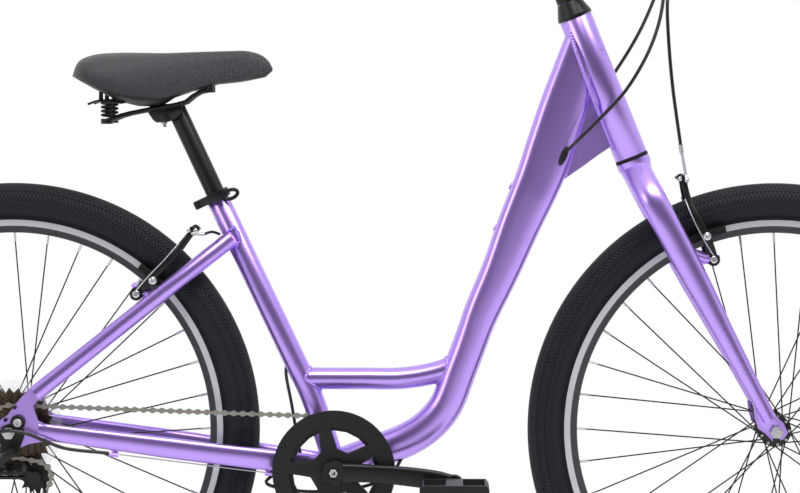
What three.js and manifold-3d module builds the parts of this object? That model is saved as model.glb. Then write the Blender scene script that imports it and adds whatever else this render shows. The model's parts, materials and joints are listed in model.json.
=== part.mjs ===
// Step-through city bike with 27.5 inch wheels and seven speeds.
// Millimetres, +X forwards, +Y to the rider's left, +Z up. The origin is on the ground, midway between the axles.
import * as THREE from "three";
import { mergeVertices } from "three/addons/utils/BufferGeometryUtils.js";
import Module from "manifold-3d";

// Clearances and overruns
const GAP = 0.3; // between pieces that touch
const RUN = 0.6; // between pieces that turn past each other
const OVER = 4; // how far a cutting tool runs past what it cuts
const MERGE = 1e-4; // points closer than this are one
const TOLERANCE = 0.1; // detail smaller than this is left out

// Wheels and layout
const WHEELBASE = 1076;
const TYRE_R = 348;
const TYRE_WIDTH = 54;
const TYRE_WALL = 4;
const RIM_R = 298.5;
const RIM_DEPTH = 20.7;
const RIM_WIDTH = 28;
const RIM_TRACK = 10.6;
const RIM_WALL = 2;
const BEAD_DEPTH = 7;
const SPOKES = 36;
const SPOKE_R = 1.1;
const SPOKE_CROSS = 3;
const FRONT_HUB_WIDTH = 100;
const REAR_HUB_WIDTH = 135;
const HUB_FLANGE_R = 23;
const HUB_FLANGE_T = 3;
const HUB_SHELL_R = 14;
const HUB_END_R = 10;
const FRONT_FLANGE_Y = 34;
const REAR_FLANGE_RIGHT_Y = 21;
const REAR_FLANGE_LEFT_Y = 36;
const AXLE_R = 4.8;
const AXLE_NUT_R = 9;
const AXLE_NUT_T = 9;
const LOCKNUT_R = 8.5;
const LOCKNUT_T = 5;

// Frame
const HEAD_ANGLE = 68;
const HEAD_TUBE_LENGTH = 211;
const HEAD_TUBE_R = 23.5;
const HEAD_BORE_R = 17.5;
const FORK_RAKE = 43;
const FORK_LENGTH = 433.4; // from the foot of the axle on the steering axis up to the head tube
const BRACKET_DROP = 56.5;
const CHAINSTAY_LENGTH = 458;
const SHELL_R = 20;
const SHELL_WIDTH = 68;
const SEAT_ANGLE = 64.6;
const SEAT_TUBE_OFFSET = 14; // seat tube axis ahead of the bottom bracket
const SEAT_TUBE_R = 15.9;
const SEAT_TUBE_LENGTH = 424;
const SEATPOST_R = 13.6;
const SEATPOST_LENGTH = 300;
const SEATPOST_OUT = 121; // seatpost above the seat tube
const SEAT_BORE_DEPTH = 280;
const SEAT_SLOT_WIDTH = 3;
const SEAT_SLOT_LENGTH = 32;
const DOWN_TUBE_DEPTH = 69;
const DOWN_TUBE_WIDTH = 46;
const GUSSET_T = 16;
const BRACE_R = 15.5;
const BRACE_HEIGHT = 127; // brace tube above the bottom bracket
const CHAINSTAY_HEIGHT = 30;
const CHAINSTAY_WIDTH = 16;
const SEATSTAY_R = 11.3;
const SEATSTAY_JOIN = 352; // along the seat tube, from the bottom bracket
const DROPOUT_T = 6;
const BRIDGE_R = 8;

// Fork
const STEERER_R = 14.3;
const STEERER_LENGTH = 292; // above the crown
const CROWN_R = 24;
const CROWN_GAP = 5; // seal between crown and head tube
const CROWN_HEIGHT = 22;
const BLADE_TOP = 402; // where the blades leave the steering axis, above its foot
const BLADE_DEPTH = 35;
const BLADE_WIDTH = 27;
const BLADE_SPREAD = 55;

const wasm = await Module();
wasm.setup();

const X = new THREE.Vector3(1, 0, 0);
const Y = new THREE.Vector3(0, 1, 0);
const Z = new THREE.Vector3(0, 0, 1);
const RIGHT = -1;
const LEFT = 1;

const radians = THREE.MathUtils.degToRad;
const at = (x, y, z) => new THREE.Vector3(x, y, z);
const along = (from, direction, distance) => from.clone().addScaledVector(direction, distance);
const mirrored = (points) => points.map((p) => at(p.x, -p.y, p.z));

// Turns a closed geometry into a solid whose faces point out.
function toSolid(geometry) {
  const bare = new THREE.BufferGeometry();
  bare.setAttribute("position", geometry.getAttribute("position"));
  bare.setIndex(geometry.getIndex());
  const merged = mergeVertices(bare, MERGE);
  const points = merged.getAttribute("position");
  const index = merged.getIndex();
  const corners = [];
  let volume = 0;
  const [a, b, c] = [at(0, 0, 0), at(0, 0, 0), at(0, 0, 0)];
  for (let i = 0; i < index.count; i += 3) {
    const [p, q, r] = [index.getX(i), index.getX(i + 1), index.getX(i + 2)];
    if (p === q || q === r || r === p) continue;
    corners.push([p, q, r]);
    a.fromBufferAttribute(points, p);
    b.fromBufferAttribute(points, q);
    c.fromBufferAttribute(points, r);
    volume += a.dot(b.cross(c));
  }
  if (volume < 0) corners.forEach((corner) => corner.reverse());
  return new wasm.Manifold(new wasm.Mesh({
    numProp: 3,
    vertProperties: Float32Array.from(points.array),
    triVerts: Uint32Array.from(corners.flat()),
  }));
}

// Turns a solid into a geometry for a mesh.
function toGeometry(solid) {
  const mesh = solid.simplify(TOLERANCE).getMesh();
  const places = [];
  for (let i = 0; i < mesh.vertProperties.length; i += mesh.numProp) {
    places.push(mesh.vertProperties[i], mesh.vertProperties[i + 1], mesh.vertProperties[i + 2]);
  }
  const geometry = new THREE.BufferGeometry();
  geometry.setAttribute("position", new THREE.Float32BufferAttribute(places, 3));
  geometry.setIndex([...mesh.triVerts]);
  geometry.computeVertexNormals();
  return geometry;
}

const join = (...solids) => solids.flat().reduce((whole, solid) => whole.add(solid));
const cut = (solid, ...tools) => tools.flat().reduce((rest, tool) => rest.subtract(tool), solid);
const mirror = (solid) => solid.mirror([0, 1, 0]);

// A matrix whose local Z points along the direction and whose local Y stays near the world's, placed at a point.
function frameAt(origin, direction, side = Y) {
  const z = direction.clone().normalize();
  const x = new THREE.Vector3().crossVectors(side, z);
  if (x.length() < MERGE) x.crossVectors(X, z);
  x.normalize();
  const y = new THREE.Vector3().crossVectors(z, x);
  return new THREE.Matrix4().makeBasis(x, y, z).setPosition(origin);
}

// A solid of revolution: the profile holds [radius, height] points, and height runs along the direction.
function revolve(profile, segments, origin = at(0, 0, 0), direction = Z) {
  const points = profile.map(([r, h]) => new THREE.Vector2(r, h));
  const geometry = new THREE.LatheGeometry(points, segments);
  geometry.applyMatrix4(new THREE.Matrix4().makeRotationX(Math.PI / 2));
  geometry.applyMatrix4(frameAt(origin, direction));
  return toSolid(geometry);
}

// A ring of revolution: the profile is a closed loop of [radius, height] points.
function revolveRing(profile, segments, origin, direction) {
  return revolve([...profile, profile[0]], segments, origin, direction);
}

// A round bar between two points, with its own radius at each end.
function bar(from, to, r, sides = 12, rEnd = r) {
  const axis = to.clone().sub(from);
  return revolve([[0, 0], [r, 0], [rEnd, axis.length()], [0, axis.length()]], sides, from, axis);
}

// A round hole whose flat sides, not its corners, are at the radius.
const bore = (from, to, r, sides = 12) => bar(from, to, r / Math.cos(Math.PI / sides), sides);

// A flat shape drawn in side view ([x, z] points, with holes) and given a thickness from y to y + depth.
function plate(outline, y, depth, holes = []) {
  const slab = (corners, from, thickness) => {
    const shape = new THREE.Shape(corners.map(([x, z]) => new THREE.Vector2(x, z)));
    const geometry = new THREE.ExtrudeGeometry(shape, { depth: thickness, bevelEnabled: false, steps: 1 });
    return toSolid(geometry.rotateX(Math.PI / 2).translate(0, from + thickness, 0));
  };
  return cut(slab(outline, y, depth), holes.map((hole) => slab(hole, y - OVER, depth + 2 * OVER)));
}

// Points of a round outline in side view.
function circle(x, z, r, sides = 16, turn = 0) {
  return Array.from({ length: sides }, (_, i) => {
    const angle = turn + (i / sides) * 2 * Math.PI;
    return [x + r * Math.cos(angle), z + r * Math.sin(angle)];
  });
}

// A tube along a smooth curve through the points.
function tube(points, r, { sides = 8, steps = 2 * points.length, closed = false } = {}) {
  const path = new THREE.CatmullRomCurve3(points, closed, "centripetal");
  const section = new THREE.Shape(circle(0, 0, r, sides, Math.PI / sides).map(([x, y]) => new THREE.Vector2(x, y)));
  return toSolid(new THREE.ExtrudeGeometry(section, { steps, bevelEnabled: false, extrudePath: path }));
}

// A solid through rings of points. Every ring has the same number of points, in the same turn.
function skin(rings) {
  const count = rings[0].length;
  const places = rings.flat();
  const index = [];
  for (let k = 0; k + 1 < rings.length; k += 1) {
    for (let i = 0; i < count; i += 1) {
      const [a, b] = [k * count + i, k * count + ((i + 1) % count)];
      index.push(a, b, b + count, a, b + count, a + count);
    }
  }
  for (const [ring, flip] of [[0, true], [rings.length - 1, false]]) {
    const middle = places.length;
    places.push(rings[ring].reduce((sum, p) => sum.add(p), at(0, 0, 0)).divideScalar(count));
    for (let i = 0; i < count; i += 1) {
      const [a, b] = [ring * count + i, ring * count + ((i + 1) % count)];
      index.push(...(flip ? [b, a, middle] : [a, b, middle]));
    }
  }
  const geometry = new THREE.BufferGeometry().setFromPoints(places);
  geometry.setIndex(index);
  return toSolid(geometry);
}

// A solid round a closed loop of equal rings: the last ring is joined to the first, so it needs no ends.
function hoop(rings) {
  const count = rings[0].length;
  const index = rings.flatMap((_, k) => rings[k].flatMap((corner, i) => {
    const next = ((k + 1) % rings.length) * count;
    const [a, b] = [k * count + i, k * count + ((i + 1) % count)];
    const [c, d] = [next + i, next + ((i + 1) % count)];
    return [a, b, d, a, d, c];
  }));
  const geometry = new THREE.BufferGeometry().setFromPoints(rings.flat());
  geometry.setIndex(index);
  return toSolid(geometry);
}

// A ring of points round a centre: a rounded rectangle whose power is 2 for an ellipse and more for squarer corners.
function ringOf({ centre, u, v, a, b, power = 2, sides = 16 }, grow = 0) {
  return Array.from({ length: sides }, (_, i) => {
    const angle = ((i + 0.5) / sides) * 2 * Math.PI;
    const [c, s] = [Math.cos(angle), Math.sin(angle)];
    const x = Math.sign(c) * Math.abs(c) ** (2 / power) * (a + grow);
    const y = Math.sign(s) * Math.abs(s) ** (2 / power) * (b + grow);
    return centre.clone().addScaledVector(u, x).addScaledVector(v, y);
  });
}

// Sections along a curve: size(t) gives the half depth a across the curve in side view, the half width b and the power.
function sectionsAlong(curve, count, size, from = 0) {
  return Array.from({ length: count + 1 }, (_, i) => {
    const t = from + ((1 - from) * i) / count;
    const tangent = curve.getTangent(t);
    const u = new THREE.Vector3().crossVectors(Y, tangent).normalize();
    const v = new THREE.Vector3().crossVectors(tangent, u).normalize();
    return { centre: curve.getPoint(t), u, v, ...size(t) };
  });
}

const loft = (sections, grow = 0) => skin(sections.map((section) => ringOf(section, grow)));

// A value read from a table of [t, value] shares, straight between its rows.
function blend(table, t) {
  const after = table.findIndex(([end]) => end >= t);
  if (after <= 0) return table[after < 0 ? table.length - 1 : 0][1];
  const [[t0, v0], [t1, v1]] = [table[after - 1], table[after]];
  return v0 + ((t - t0) / (t1 - t0)) * (v1 - v0);
}

// Main points of the frame
const rearAxle = at(-WHEELBASE / 2, 0, TYRE_R);
const frontAxle = at(WHEELBASE / 2, 0, TYRE_R);
const bracket = at(
  rearAxle.x + Math.sqrt(CHAINSTAY_LENGTH ** 2 - BRACKET_DROP ** 2), 0, TYRE_R - BRACKET_DROP);
const steerUp = at(-Math.cos(radians(HEAD_ANGLE)), 0, Math.sin(radians(HEAD_ANGLE)));
const steerFore = at(steerUp.z, 0, -steerUp.x);
const steerFoot = along(frontAxle, steerFore, -FORK_RAKE);
const headBottom = along(steerFoot, steerUp, FORK_LENGTH);
const headTop = along(headBottom, steerUp, HEAD_TUBE_LENGTH);
const seatUp = at(-Math.cos(radians(SEAT_ANGLE)), 0, Math.sin(radians(SEAT_ANGLE)));
const seatFore = at(seatUp.z, 0, -seatUp.x);
const seatFoot = along(bracket, seatFore, SEAT_TUBE_OFFSET);
const seatTop = along(seatFoot, seatUp, SEAT_TUBE_LENGTH);
const steerPoint = (fore, up, y = 0) => along(along(steerFoot, steerUp, up), steerFore, fore).setY(y);
const seatPoint = (fore, up, y = 0) => along(along(seatFoot, seatUp, up), seatFore, fore).setY(y);
const sideView = (point) => [point.x, point.z];

// Down tube: its centre line, as shares of the way from the bottom bracket to a point on the head tube's axis
const DOWN_TUBE_START_SHARE = 0.02; // inside the bottom bracket shell's wall
const DOWN_TUBE_TOP_SHARE = 0.816; // of the head tube
const downTubeLineShares = [
  [0, 0], [0.149, 0.034], [0.294, 0.068], [0.376, 0.1], [0.4425, 0.1466], [0.5016, 0.2341], [0.5384, 0.2915],
  [0.5824, 0.3622], [0.6627, 0.468], [0.735, 0.574], [0.823, 0.695], [0.9035, 0.838], [1, 1],
];
const downTubeDepthShares = [[0, 0.7], [0.55, 0.7], [0.66, 0.78], [0.76, 0.89], [0.86, 1], [0.93, 0.97], [1, 0.9]];
const downTubeWidthShares = [[0, 1], [0.55, 1], [0.8, 1.04], [1, 0.9]];
const downTubeCornerShares = [[0, 2.2], [0.5, 2.4], [0.8, 3.4], [1, 3]];
const downTubeTop = along(headBottom, steerUp, DOWN_TUBE_TOP_SHARE * HEAD_TUBE_LENGTH);
const downTubeLine = new THREE.CatmullRomCurve3(downTubeLineShares.map(([fore, up]) => at(
  THREE.MathUtils.lerp(bracket.x, downTubeTop.x, fore), 0, THREE.MathUtils.lerp(bracket.z, downTubeTop.z, up))),
false, "centripetal");
const downTubeSections = sectionsAlong(downTubeLine, 13, (t) => ({
  a: (DOWN_TUBE_DEPTH / 2) * blend(downTubeDepthShares, t),
  b: (DOWN_TUBE_WIDTH / 2) * blend(downTubeWidthShares, t),
  power: blend(downTubeCornerShares, t),
  sides: 10,
}), DOWN_TUBE_START_SHARE);
const shellSolid = (grow = 0) => bar(
  at(bracket.x, -SHELL_WIDTH / 2 - grow, bracket.z), at(bracket.x, SHELL_WIDTH / 2 + grow, bracket.z),
  SHELL_R + grow, 16);
const seatTubeSolid = (grow = 0) => bar(seatFoot, along(seatTop, seatUp, grow), SEAT_TUBE_R + grow, 16);

// Cable ports in the sides of the down tube, under the head tube
const PORT_FORE = -84;
const PORT_UP = 474;
const PORT_R = 4;
const PORT_DEPTH = 14;
const CABLE_R = 2.5;
const portPoint = (side) => steerPoint(PORT_FORE, PORT_UP, side * DOWN_TUBE_WIDTH * 0.5);
const portWay = (side, fore, out, up) => at(fore, side * out, up).normalize();

function headAndDownTube() {
  const gussetShares = [[-0.07, 0.42], [-0.07, 0.12], [-0.2, 0.093], [-0.33, 0.06], [-0.46, 0.03], [-0.56, 0.02]];
  const gusset = gussetShares.map(([fore, up]) => sideView(
    steerPoint(fore * HEAD_TUBE_LENGTH, FORK_LENGTH + up * HEAD_TUBE_LENGTH)));
  const steererHole = bore(along(headBottom, steerUp, -OVER), along(headTop, steerUp, OVER), HEAD_BORE_R);
  const head = bar(headBottom, headTop, HEAD_TUBE_R, 16);
  const whole = join(head, loft(downTubeSections), plate(gusset, -GUSSET_T / 2, GUSSET_T));
  const ports = [RIGHT, LEFT].map((side) => {
    const mouth = portPoint(side);
    const outwards = portWay(side, 0.35, 0.9, 0.35);
    return bore(along(mouth, outwards, -PORT_DEPTH), along(mouth, outwards, PORT_DEPTH), PORT_R, 6);
  });
  const underPort = tube(shiftFrontHousing(), CABLE_R + GAP, { steps: 10, sides: 5 });
  return cut(whole, steererHole, ports, underPort, shellSolid(GAP), seatTubeSolid(GAP));
}

// Seat tube with the bottom bracket shell and the short brace tube
const SPINDLE_R = 8.5;
function seatTube() {
  const braceStart = along(seatFoot, seatUp, (BRACE_HEIGHT - seatFoot.z + bracket.z) / seatUp.z);
  const reach = downTubeLine.getPoint(0.5).x - braceStart.x;
  const rise = DOWN_TUBE_DEPTH * 0.36;
  const braceLine = [
    [0, 0], [0.35, 0], [0.6, 0.02], [0.8, 0.35], [1, 1.05],
  ].map(([foreShare, upShare]) => at(braceStart.x + foreShare * reach, 0, braceStart.z + upShare * rise));
  const brace = cut(tube(braceLine, BRACE_R, { sides: 10, steps: 6 }), loft(downTubeSections, GAP));
  const postHole = bore(along(seatTop, seatUp, -SEAT_BORE_DEPTH), along(seatTop, seatUp, OVER), SEATPOST_R + GAP, 16);
  const slot = bar(
    along(seatTop, seatUp, -SEAT_SLOT_LENGTH), along(seatTop, seatUp, OVER), SEAT_SLOT_WIDTH / 2, 6,
  ).translate([-seatFore.x * SEAT_TUBE_R, 0, -seatFore.z * SEAT_TUBE_R]);
  const spindleHole = bore(
    at(bracket.x, -SHELL_WIDTH / 2 - OVER, bracket.z), at(bracket.x, SHELL_WIDTH / 2 + OVER, bracket.z),
    SPINDLE_R + RUN);
  return cut(join(seatTubeSolid(), shellSolid(), brace), postHole, slot, spindleHole);
}

// Chainstays: from the shell back to the dropouts, flattened beside the tyre
const CHAINSTAY_END_HEIGHT = 22;
const dropoutY = REAR_HUB_WIDTH / 2 + DROPOUT_T / 2;
const DROPOUT_REACH = 60;
const dropoutPoint = ([fore, up]) => [rearAxle.x + fore * DROPOUT_REACH, rearAxle.z + up * DROPOUT_REACH];
const onDropout = (shares) => at(dropoutPoint(shares)[0], 0, dropoutPoint(shares)[1]);
const stayEnd = onDropout([0.667, 0.033]);
const chainstayShares = [[0, 0.33], [0.17, 0.44], [0.34, 0.62], [0.62, 0.8], [1, 1]];
function chainstayLine(side) {
  const start = at(bracket.x - SHELL_R * 0.6, 0, bracket.z + SHELL_R * 0.15);
  const points = chainstayShares.map(([t, out]) => start.clone().lerp(stayEnd, t).setY(side * out * dropoutY));
  return new THREE.CatmullRomCurve3(points, false, "centripetal");
}
function chainstay(side) {
  const line = chainstayLine(side);
  const heightShares = [[0, 1], [0.7, 0.96], [1, CHAINSTAY_END_HEIGHT / CHAINSTAY_HEIGHT]];
  const widthShares = [[0, 1], [0.2, 0.9], [0.7, 1], [1, 0.6]];
  const stay = loft(sectionsAlong(line, 8, (t) => ({
    a: (CHAINSTAY_HEIGHT / 2) * blend(heightShares, t), b: (CHAINSTAY_WIDTH / 2) * blend(widthShares, t),
    power: 2.3, sides: 8,
  })));
  const stops = side === RIGHT ? stopShares.map(cableStop) : [];
  const bridgeAt = line.getPoint(0.12);
  const bridgeTo = bridgeAt.clone().setY(-bridgeAt.y + CHAINSTAY_WIDTH / 2 + GAP);
  const bridge = side === LEFT ? [bar(bridgeAt, bridgeTo, BRIDGE_R, 8)] : [];
  const whole = join(stay, stops, bridge);
  return cut(whole, shellSolid(GAP), seatTubeSolid(GAP), dropoutTools(side), side === RIGHT ? [shiftCableRear(GAP)] : []);
}

// Seatstays: from the seat tube back to the dropouts, with the dropout plate and the brake boss
const BOSS_R = 6;
const BOSS_PIN_R = 4;
const BOSS_LENGTH = 26;
const BOSS_SPACING = 80;
const BOSS_RADIUS = 262; // front brake bosses from the axle
const seatstayShares = [[0, 0.24], [0.14, 0.46], [0.3, 0.64], [0.6, 0.76], [1, 1]];
const stayTop = seatPoint(-SEAT_TUBE_R * 0.38, SEATSTAY_JOIN);
const stayFoot = onDropout([0.6, 0.9]);
function seatstayLine(side) {
  const points = seatstayShares.map(([t, out]) => stayTop.clone().lerp(stayFoot, t).setY(side * out * dropoutY));
  return new THREE.CatmullRomCurve3(points, false, "centripetal");
}
const stayBack = stayFoot.clone().sub(stayTop).normalize();
const stayOut = at(stayBack.z, 0, -stayBack.x); // square to the seatstays, up and back
const REAR_BOSS_SHARE = 0.405; // along the seatstay, from the seat tube
const onSeatstay = (side, share) => stayTop.clone().lerp(stayFoot, share).setY(
  side * blend(seatstayShares, share) * dropoutY);
// The way up a brake arm and the way its boss points: square to the wheel's radius through the arm's foot
function brakeFrame(base, wheel, outwards) {
  const up = along(base, outwards, SEATSTAY_R + BOSS_LENGTH / 2).setY(0).sub(wheel).normalize();
  const out = at(-up.z, 0, up.x);
  return { up, out: out.dot(outwards) > 0 ? out : out.negate() };
}
const rearBoss = (side) => onSeatstay(side, REAR_BOSS_SHARE).setY(side * BOSS_SPACING / 2);
const rearBrake = brakeFrame(rearBoss(LEFT).setY(0), rearAxle, stayOut);
const dropoutShares = [
  [0.86, -0.2], [0.96, 0.1], [0.66, 0.3], [0.56, 0.62], [0.74, 0.86], [0.5, 1.06], [0.24, 0.78], [-0.03, 0.42],
  [-0.28, 0.24], [-0.36, 0.04], [-0.33, -0.2], [-0.16, -0.37], [0.16, -0.4], [0.44, -0.27],
];
const EYELET_R = 2.6;
const eyeletShares = [[0.1, 0.34], [-0.13, 0.09]];
const axleSlot = (x, z, drop, r) => [
  [x - r, z - drop], [x + r, z - drop], [x + r, z], [x + r * 0.7, z + r * 0.7], [x, z + r], [x - r * 0.7, z + r * 0.7],
  [x - r, z],
];
function dropout(side) {
  const outline = dropoutShares.map(dropoutPoint);
  const holes = [circle(...dropoutPoint(eyeletShares[0]), EYELET_R, 8)];
  const y = side * dropoutY - DROPOUT_T / 2;
  const slot = plate(axleSlot(rearAxle.x, rearAxle.z, DROPOUT_REACH, AXLE_R + GAP), y - OVER, DROPOUT_T + 2 * OVER);
  return cut(plate(outline, y, DROPOUT_T, holes), slot);
}
// What a stay gives way to where it meets the dropout plate
const dropoutTools = (side) => [
  plate(dropoutShares.map(dropoutPoint), side * dropoutY - DROPOUT_T / 2 - GAP, DROPOUT_T + 2 * GAP)];
function seatstay(side) {
  const line = seatstayLine(side);
  const stay = loft(sectionsAlong(line, 7, () => ({ a: SEATSTAY_R, b: SEATSTAY_R * 0.86, sides: 8 })));
  const boss = rearBoss(side);
  const pin = join(
    bar(boss, along(boss, rearBrake.out, SEATSTAY_R + BOSS_R), BOSS_R, 6),
    bar(boss, along(boss, rearBrake.out, SEATSTAY_R + BOSS_LENGTH), BOSS_PIN_R, 6));
  const lug = bar(onSeatstay(side, REAR_BOSS_SHARE), boss, BOSS_R, 6);
  const bridgeAt = line.getPoint(0.13);
  const bridge = side === LEFT ? [bar(bridgeAt, bridgeAt.clone().setY(-bridgeAt.y + SEATSTAY_R), BRIDGE_R, 8)] : [];
  const other = side === LEFT ? [loft(sectionsAlong(seatstayLine(RIGHT), 7, () => (
    { a: SEATSTAY_R, b: SEATSTAY_R * 0.86, sides: 8 })), GAP)] : [];
  const whole = join(stay, lug, pin, cut(join(stay, bridge), other));
  return cut(join(cut(whole, seatTubeSolid(GAP)), dropout(side)), axleTool());
}
const axleTool = () => bore(
  at(rearAxle.x, -REAR_HUB_WIDTH, rearAxle.z), at(rearAxle.x, REAR_HUB_WIDTH, rearAxle.z), AXLE_R + GAP, 8);

// Seat clamp with its quick release
const CLAMP_T = 3.5;
const CLAMP_HEIGHT = 12;
const CLAMP_EAR = 15;
const LEVER_LENGTH = 44;
const LEVER_T = 5;
const CLAMP_PIN_R = 2.8;
const clampUp = SEAT_TUBE_LENGTH - CLAMP_HEIGHT * 0.8;
const clampPin = (y) => seatPoint(-SEAT_TUBE_R - CLAMP_EAR * 0.8, clampUp + CLAMP_HEIGHT / 2, y);
function seatClamp() {
  const outer = bar(seatPoint(0, clampUp), seatPoint(0, clampUp + CLAMP_HEIGHT), SEAT_TUBE_R + GAP + CLAMP_T, 16);
  const ear = CLAMP_EAR + CLAMP_T;
  const ears = new THREE.BoxGeometry(ear, CLAMP_EAR, CLAMP_HEIGHT);
  ears.applyMatrix4(frameAt(seatPoint(-SEAT_TUBE_R - ear * 0.4, clampUp + CLAMP_HEIGHT / 2), seatUp));
  const slit = new THREE.BoxGeometry(2 * ear, SEAT_SLOT_WIDTH, CLAMP_HEIGHT + OVER);
  slit.applyMatrix4(frameAt(seatPoint(-SEAT_TUBE_R - ear, clampUp + CLAMP_HEIGHT / 2), seatUp));
  const inside = bore(seatPoint(0, clampUp - OVER), seatPoint(0, clampUp + CLAMP_HEIGHT + OVER), SEAT_TUBE_R + GAP, 16);
  const bolt = bar(clampPin(-CLAMP_EAR * 0.5), clampPin(CLAMP_EAR * 1.1), CLAMP_PIN_R, 8);
  const nut = bar(clampPin(CLAMP_EAR * 0.5), clampPin(CLAMP_EAR), CLAMP_PIN_R * 2.2, 6);
  return join(cut(join(outer, toSolid(ears)), inside, toSolid(slit)), bolt, nut);
}
// Its cam turns about an axis along the seat tube, at the right end of the clamp bolt
const CAM_R = 5.4;
const camCentre = clampPin(-CLAMP_EAR * 0.5 - GAP - CAM_R);
const clampLeverShares = [ // along the lever, half height, distance out and thickness
  [0, 0.4, 0.6, 1], [0.24, 0.45, 0.84, 1], [0.45, 0.5, 1.03, 1], [0.63, 0.55, 1.08, 0.9], [0.85, 0.6, 1.1, 0.8],
  [1, 0.35, 1.02, 0.6],
];
function seatClampLever() {
  const half = CLAMP_HEIGHT * 0.45;
  const cam = bar(along(camCentre, seatUp, -half), along(camCentre, seatUp, half), CAM_R, 12);
  const beside = SEAT_TUBE_R + CLAMP_T + LEVER_T / 2 + RUN;
  const sections = clampLeverShares.map(([t, height, outShare, thick]) => ({
    centre: along(camCentre, seatFore, t * LEVER_LENGTH).setY(-outShare * beside),
    u: seatUp, v: Y, a: CLAMP_HEIGHT * height, b: (LEVER_T * thick) / 2, power: 3, sides: 6,
  }));
  return join(cam, loft(sections));
}

// Shift cable under the right chainstay: housing, bare wire between the stops, housing again
const WIRE_R = 0.9;
const STOP_R = 4.6;
const STOP_LENGTH = 13;
const stopShares = [0.29, 0.83]; // along the chainstay, from the front
const underStay = (t) => along(chainstayLine(RIGHT).getPoint(t), Z, -CHAINSTAY_HEIGHT * 0.5 - STOP_R * 0.75);
const wireLine = underStay(stopShares[1]).sub(underStay(stopShares[0])).normalize();
const stopFace = (t, end) => along(underStay(t), wireLine, end * (STOP_LENGTH / 2 + GAP));
function cableStop(t) {
  const middle = underStay(t);
  const body = bar(along(middle, wireLine, -STOP_LENGTH / 2), along(middle, wireLine, STOP_LENGTH / 2), STOP_R, 6);
  return join(body, bar(middle, along(middle, Z, CHAINSTAY_HEIGHT * 0.4), STOP_R * 0.8, 6));
}
const shiftFrontHousing = () => [
  at(14, -9, 311), at(2, -13, 291), at(-28, -18, 271), at(-83, -24, 261), at(-140, -29, 262), at(-180, -35, 274),
  stopFace(stopShares[0], -1),
];
const shiftWire = () => [stopFace(stopShares[0], -1), stopFace(stopShares[1], 1)];
const shiftRearHousing = () => [
  stopFace(stopShares[1], 1), at(-462, -68, 326), at(-490, -84, 339), at(-516, -92, 350), at(-545, -94, 352),
  at(-572, -90, 338), at(-588, -83, 312), at(-594, -77, 290), at(-588, -73, 277), at(-577, -70, 281),
];
const shiftCableRear = (grow = 0) => join(
  tube(shiftFrontHousing(), CABLE_R + grow, { steps: 10, sides: 5 }), bar(...shiftWire(), WIRE_R + grow, 5),
  tube(shiftRearHousing(), CABLE_R + grow, { steps: 14, sides: 5 }));

// Fork: steerer, crown and two straight blades that lean forward to the axle
const FORK_END_T = 5;
const forkEndY = FRONT_HUB_WIDTH / 2 + GAP + FORK_END_T / 2;
const FORK_END_REACH = 24;
const bladeTop = steerPoint(0, BLADE_TOP);
const bladeDown = frontAxle.clone().sub(bladeTop).normalize();
const bladeLength = frontAxle.distanceTo(bladeTop);
const bladeOut = at(-bladeDown.z, 0, bladeDown.x); // square to the blades, forwards
const bladeSpreadShares = [[-0.04, 0.1], [0.02, 0.55], [0.075, 0.86], [0.14, 0.97], [0.3, 1], [0.6, 1], [0.95, 0.98]];
const bladeDepthShares = [[0, 1.12], [0.12, 1], [0.35, 0.87], [0.6, 0.82], [0.8, 0.64], [1, 0.44]];
const bladeWidthShares = [[0, 1.1], [0.3, 0.95], [0.7, 0.8], [1, 0.5]];
const bladeLine = (side) => new THREE.CatmullRomCurve3(bladeSpreadShares.map(([t, out]) => along(
  bladeTop, bladeDown, t * bladeLength).setY(side * out * BLADE_SPREAD)), false, "centripetal");
const forkEndShares = [
  [-0.42, -0.5], [0.2, -0.55], [0.58, -0.35], [0.62, 0.3], [0.35, 0.95], [0.42, 1.5], [0.1, 1.9], [-0.5, 1.9],
  [-0.72, 1.3], [-0.85, 0.7], [-0.6, 0.2],
];
const frontBoss = (side) => along(
  along(bladeTop, bladeDown, bladeLength - BOSS_RADIUS), bladeOut, BLADE_DEPTH * 0.3).setY(side * BOSS_SPACING / 2);
const frontBrake = brakeFrame(frontBoss(LEFT).setY(0), frontAxle, bladeOut);
function forkEnd(side) {
  const outline = forkEndShares.map(([fore, up]) => {
    const place = along(along(frontAxle, bladeDown, -up * FORK_END_REACH), bladeOut, fore * FORK_END_REACH);
    return sideView(place);
  });
  const y = side * forkEndY - FORK_END_T / 2;
  const slot = plate(axleSlot(frontAxle.x, frontAxle.z, FORK_END_REACH, AXLE_R + GAP), y - OVER, FORK_END_T + 2 * OVER);
  return cut(plate(outline, y, FORK_END_T), slot);
}
function fork() {
  const crownTop = FORK_LENGTH - CROWN_GAP;
  const crown = revolve([
    [0, -CROWN_HEIGHT], [CROWN_R * 0.8, -CROWN_HEIGHT], [CROWN_R, 0], [STEERER_R, 0], [STEERER_R, STEERER_LENGTH],
    [0, STEERER_LENGTH],
  ], 14, steerPoint(0, crownTop), steerUp);
  const legs = [RIGHT, LEFT].map((side) => {
    const blade = loft(sectionsAlong(bladeLine(side), 8, (t) => ({
      a: (BLADE_DEPTH / 2) * blend(bladeDepthShares, t), b: (BLADE_WIDTH / 2) * blend(bladeWidthShares, t), sides: 10,
    })));
    const boss = frontBoss(side);
    const pin = join(
      bar(boss, along(boss, frontBrake.out, BLADE_DEPTH * 0.3 + BOSS_R), BOSS_R, 6),
      bar(boss, along(boss, frontBrake.out, BLADE_DEPTH * 0.3 + BOSS_LENGTH), BOSS_PIN_R, 6));
    const lug = bar(along(bladeTop, bladeDown, bladeLength - BOSS_RADIUS).setY(side * BLADE_SPREAD), boss, BOSS_R, 6);
    return join(blade, forkEnd(side), lug, pin);
  });
  return join(crown, legs);
}

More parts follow.
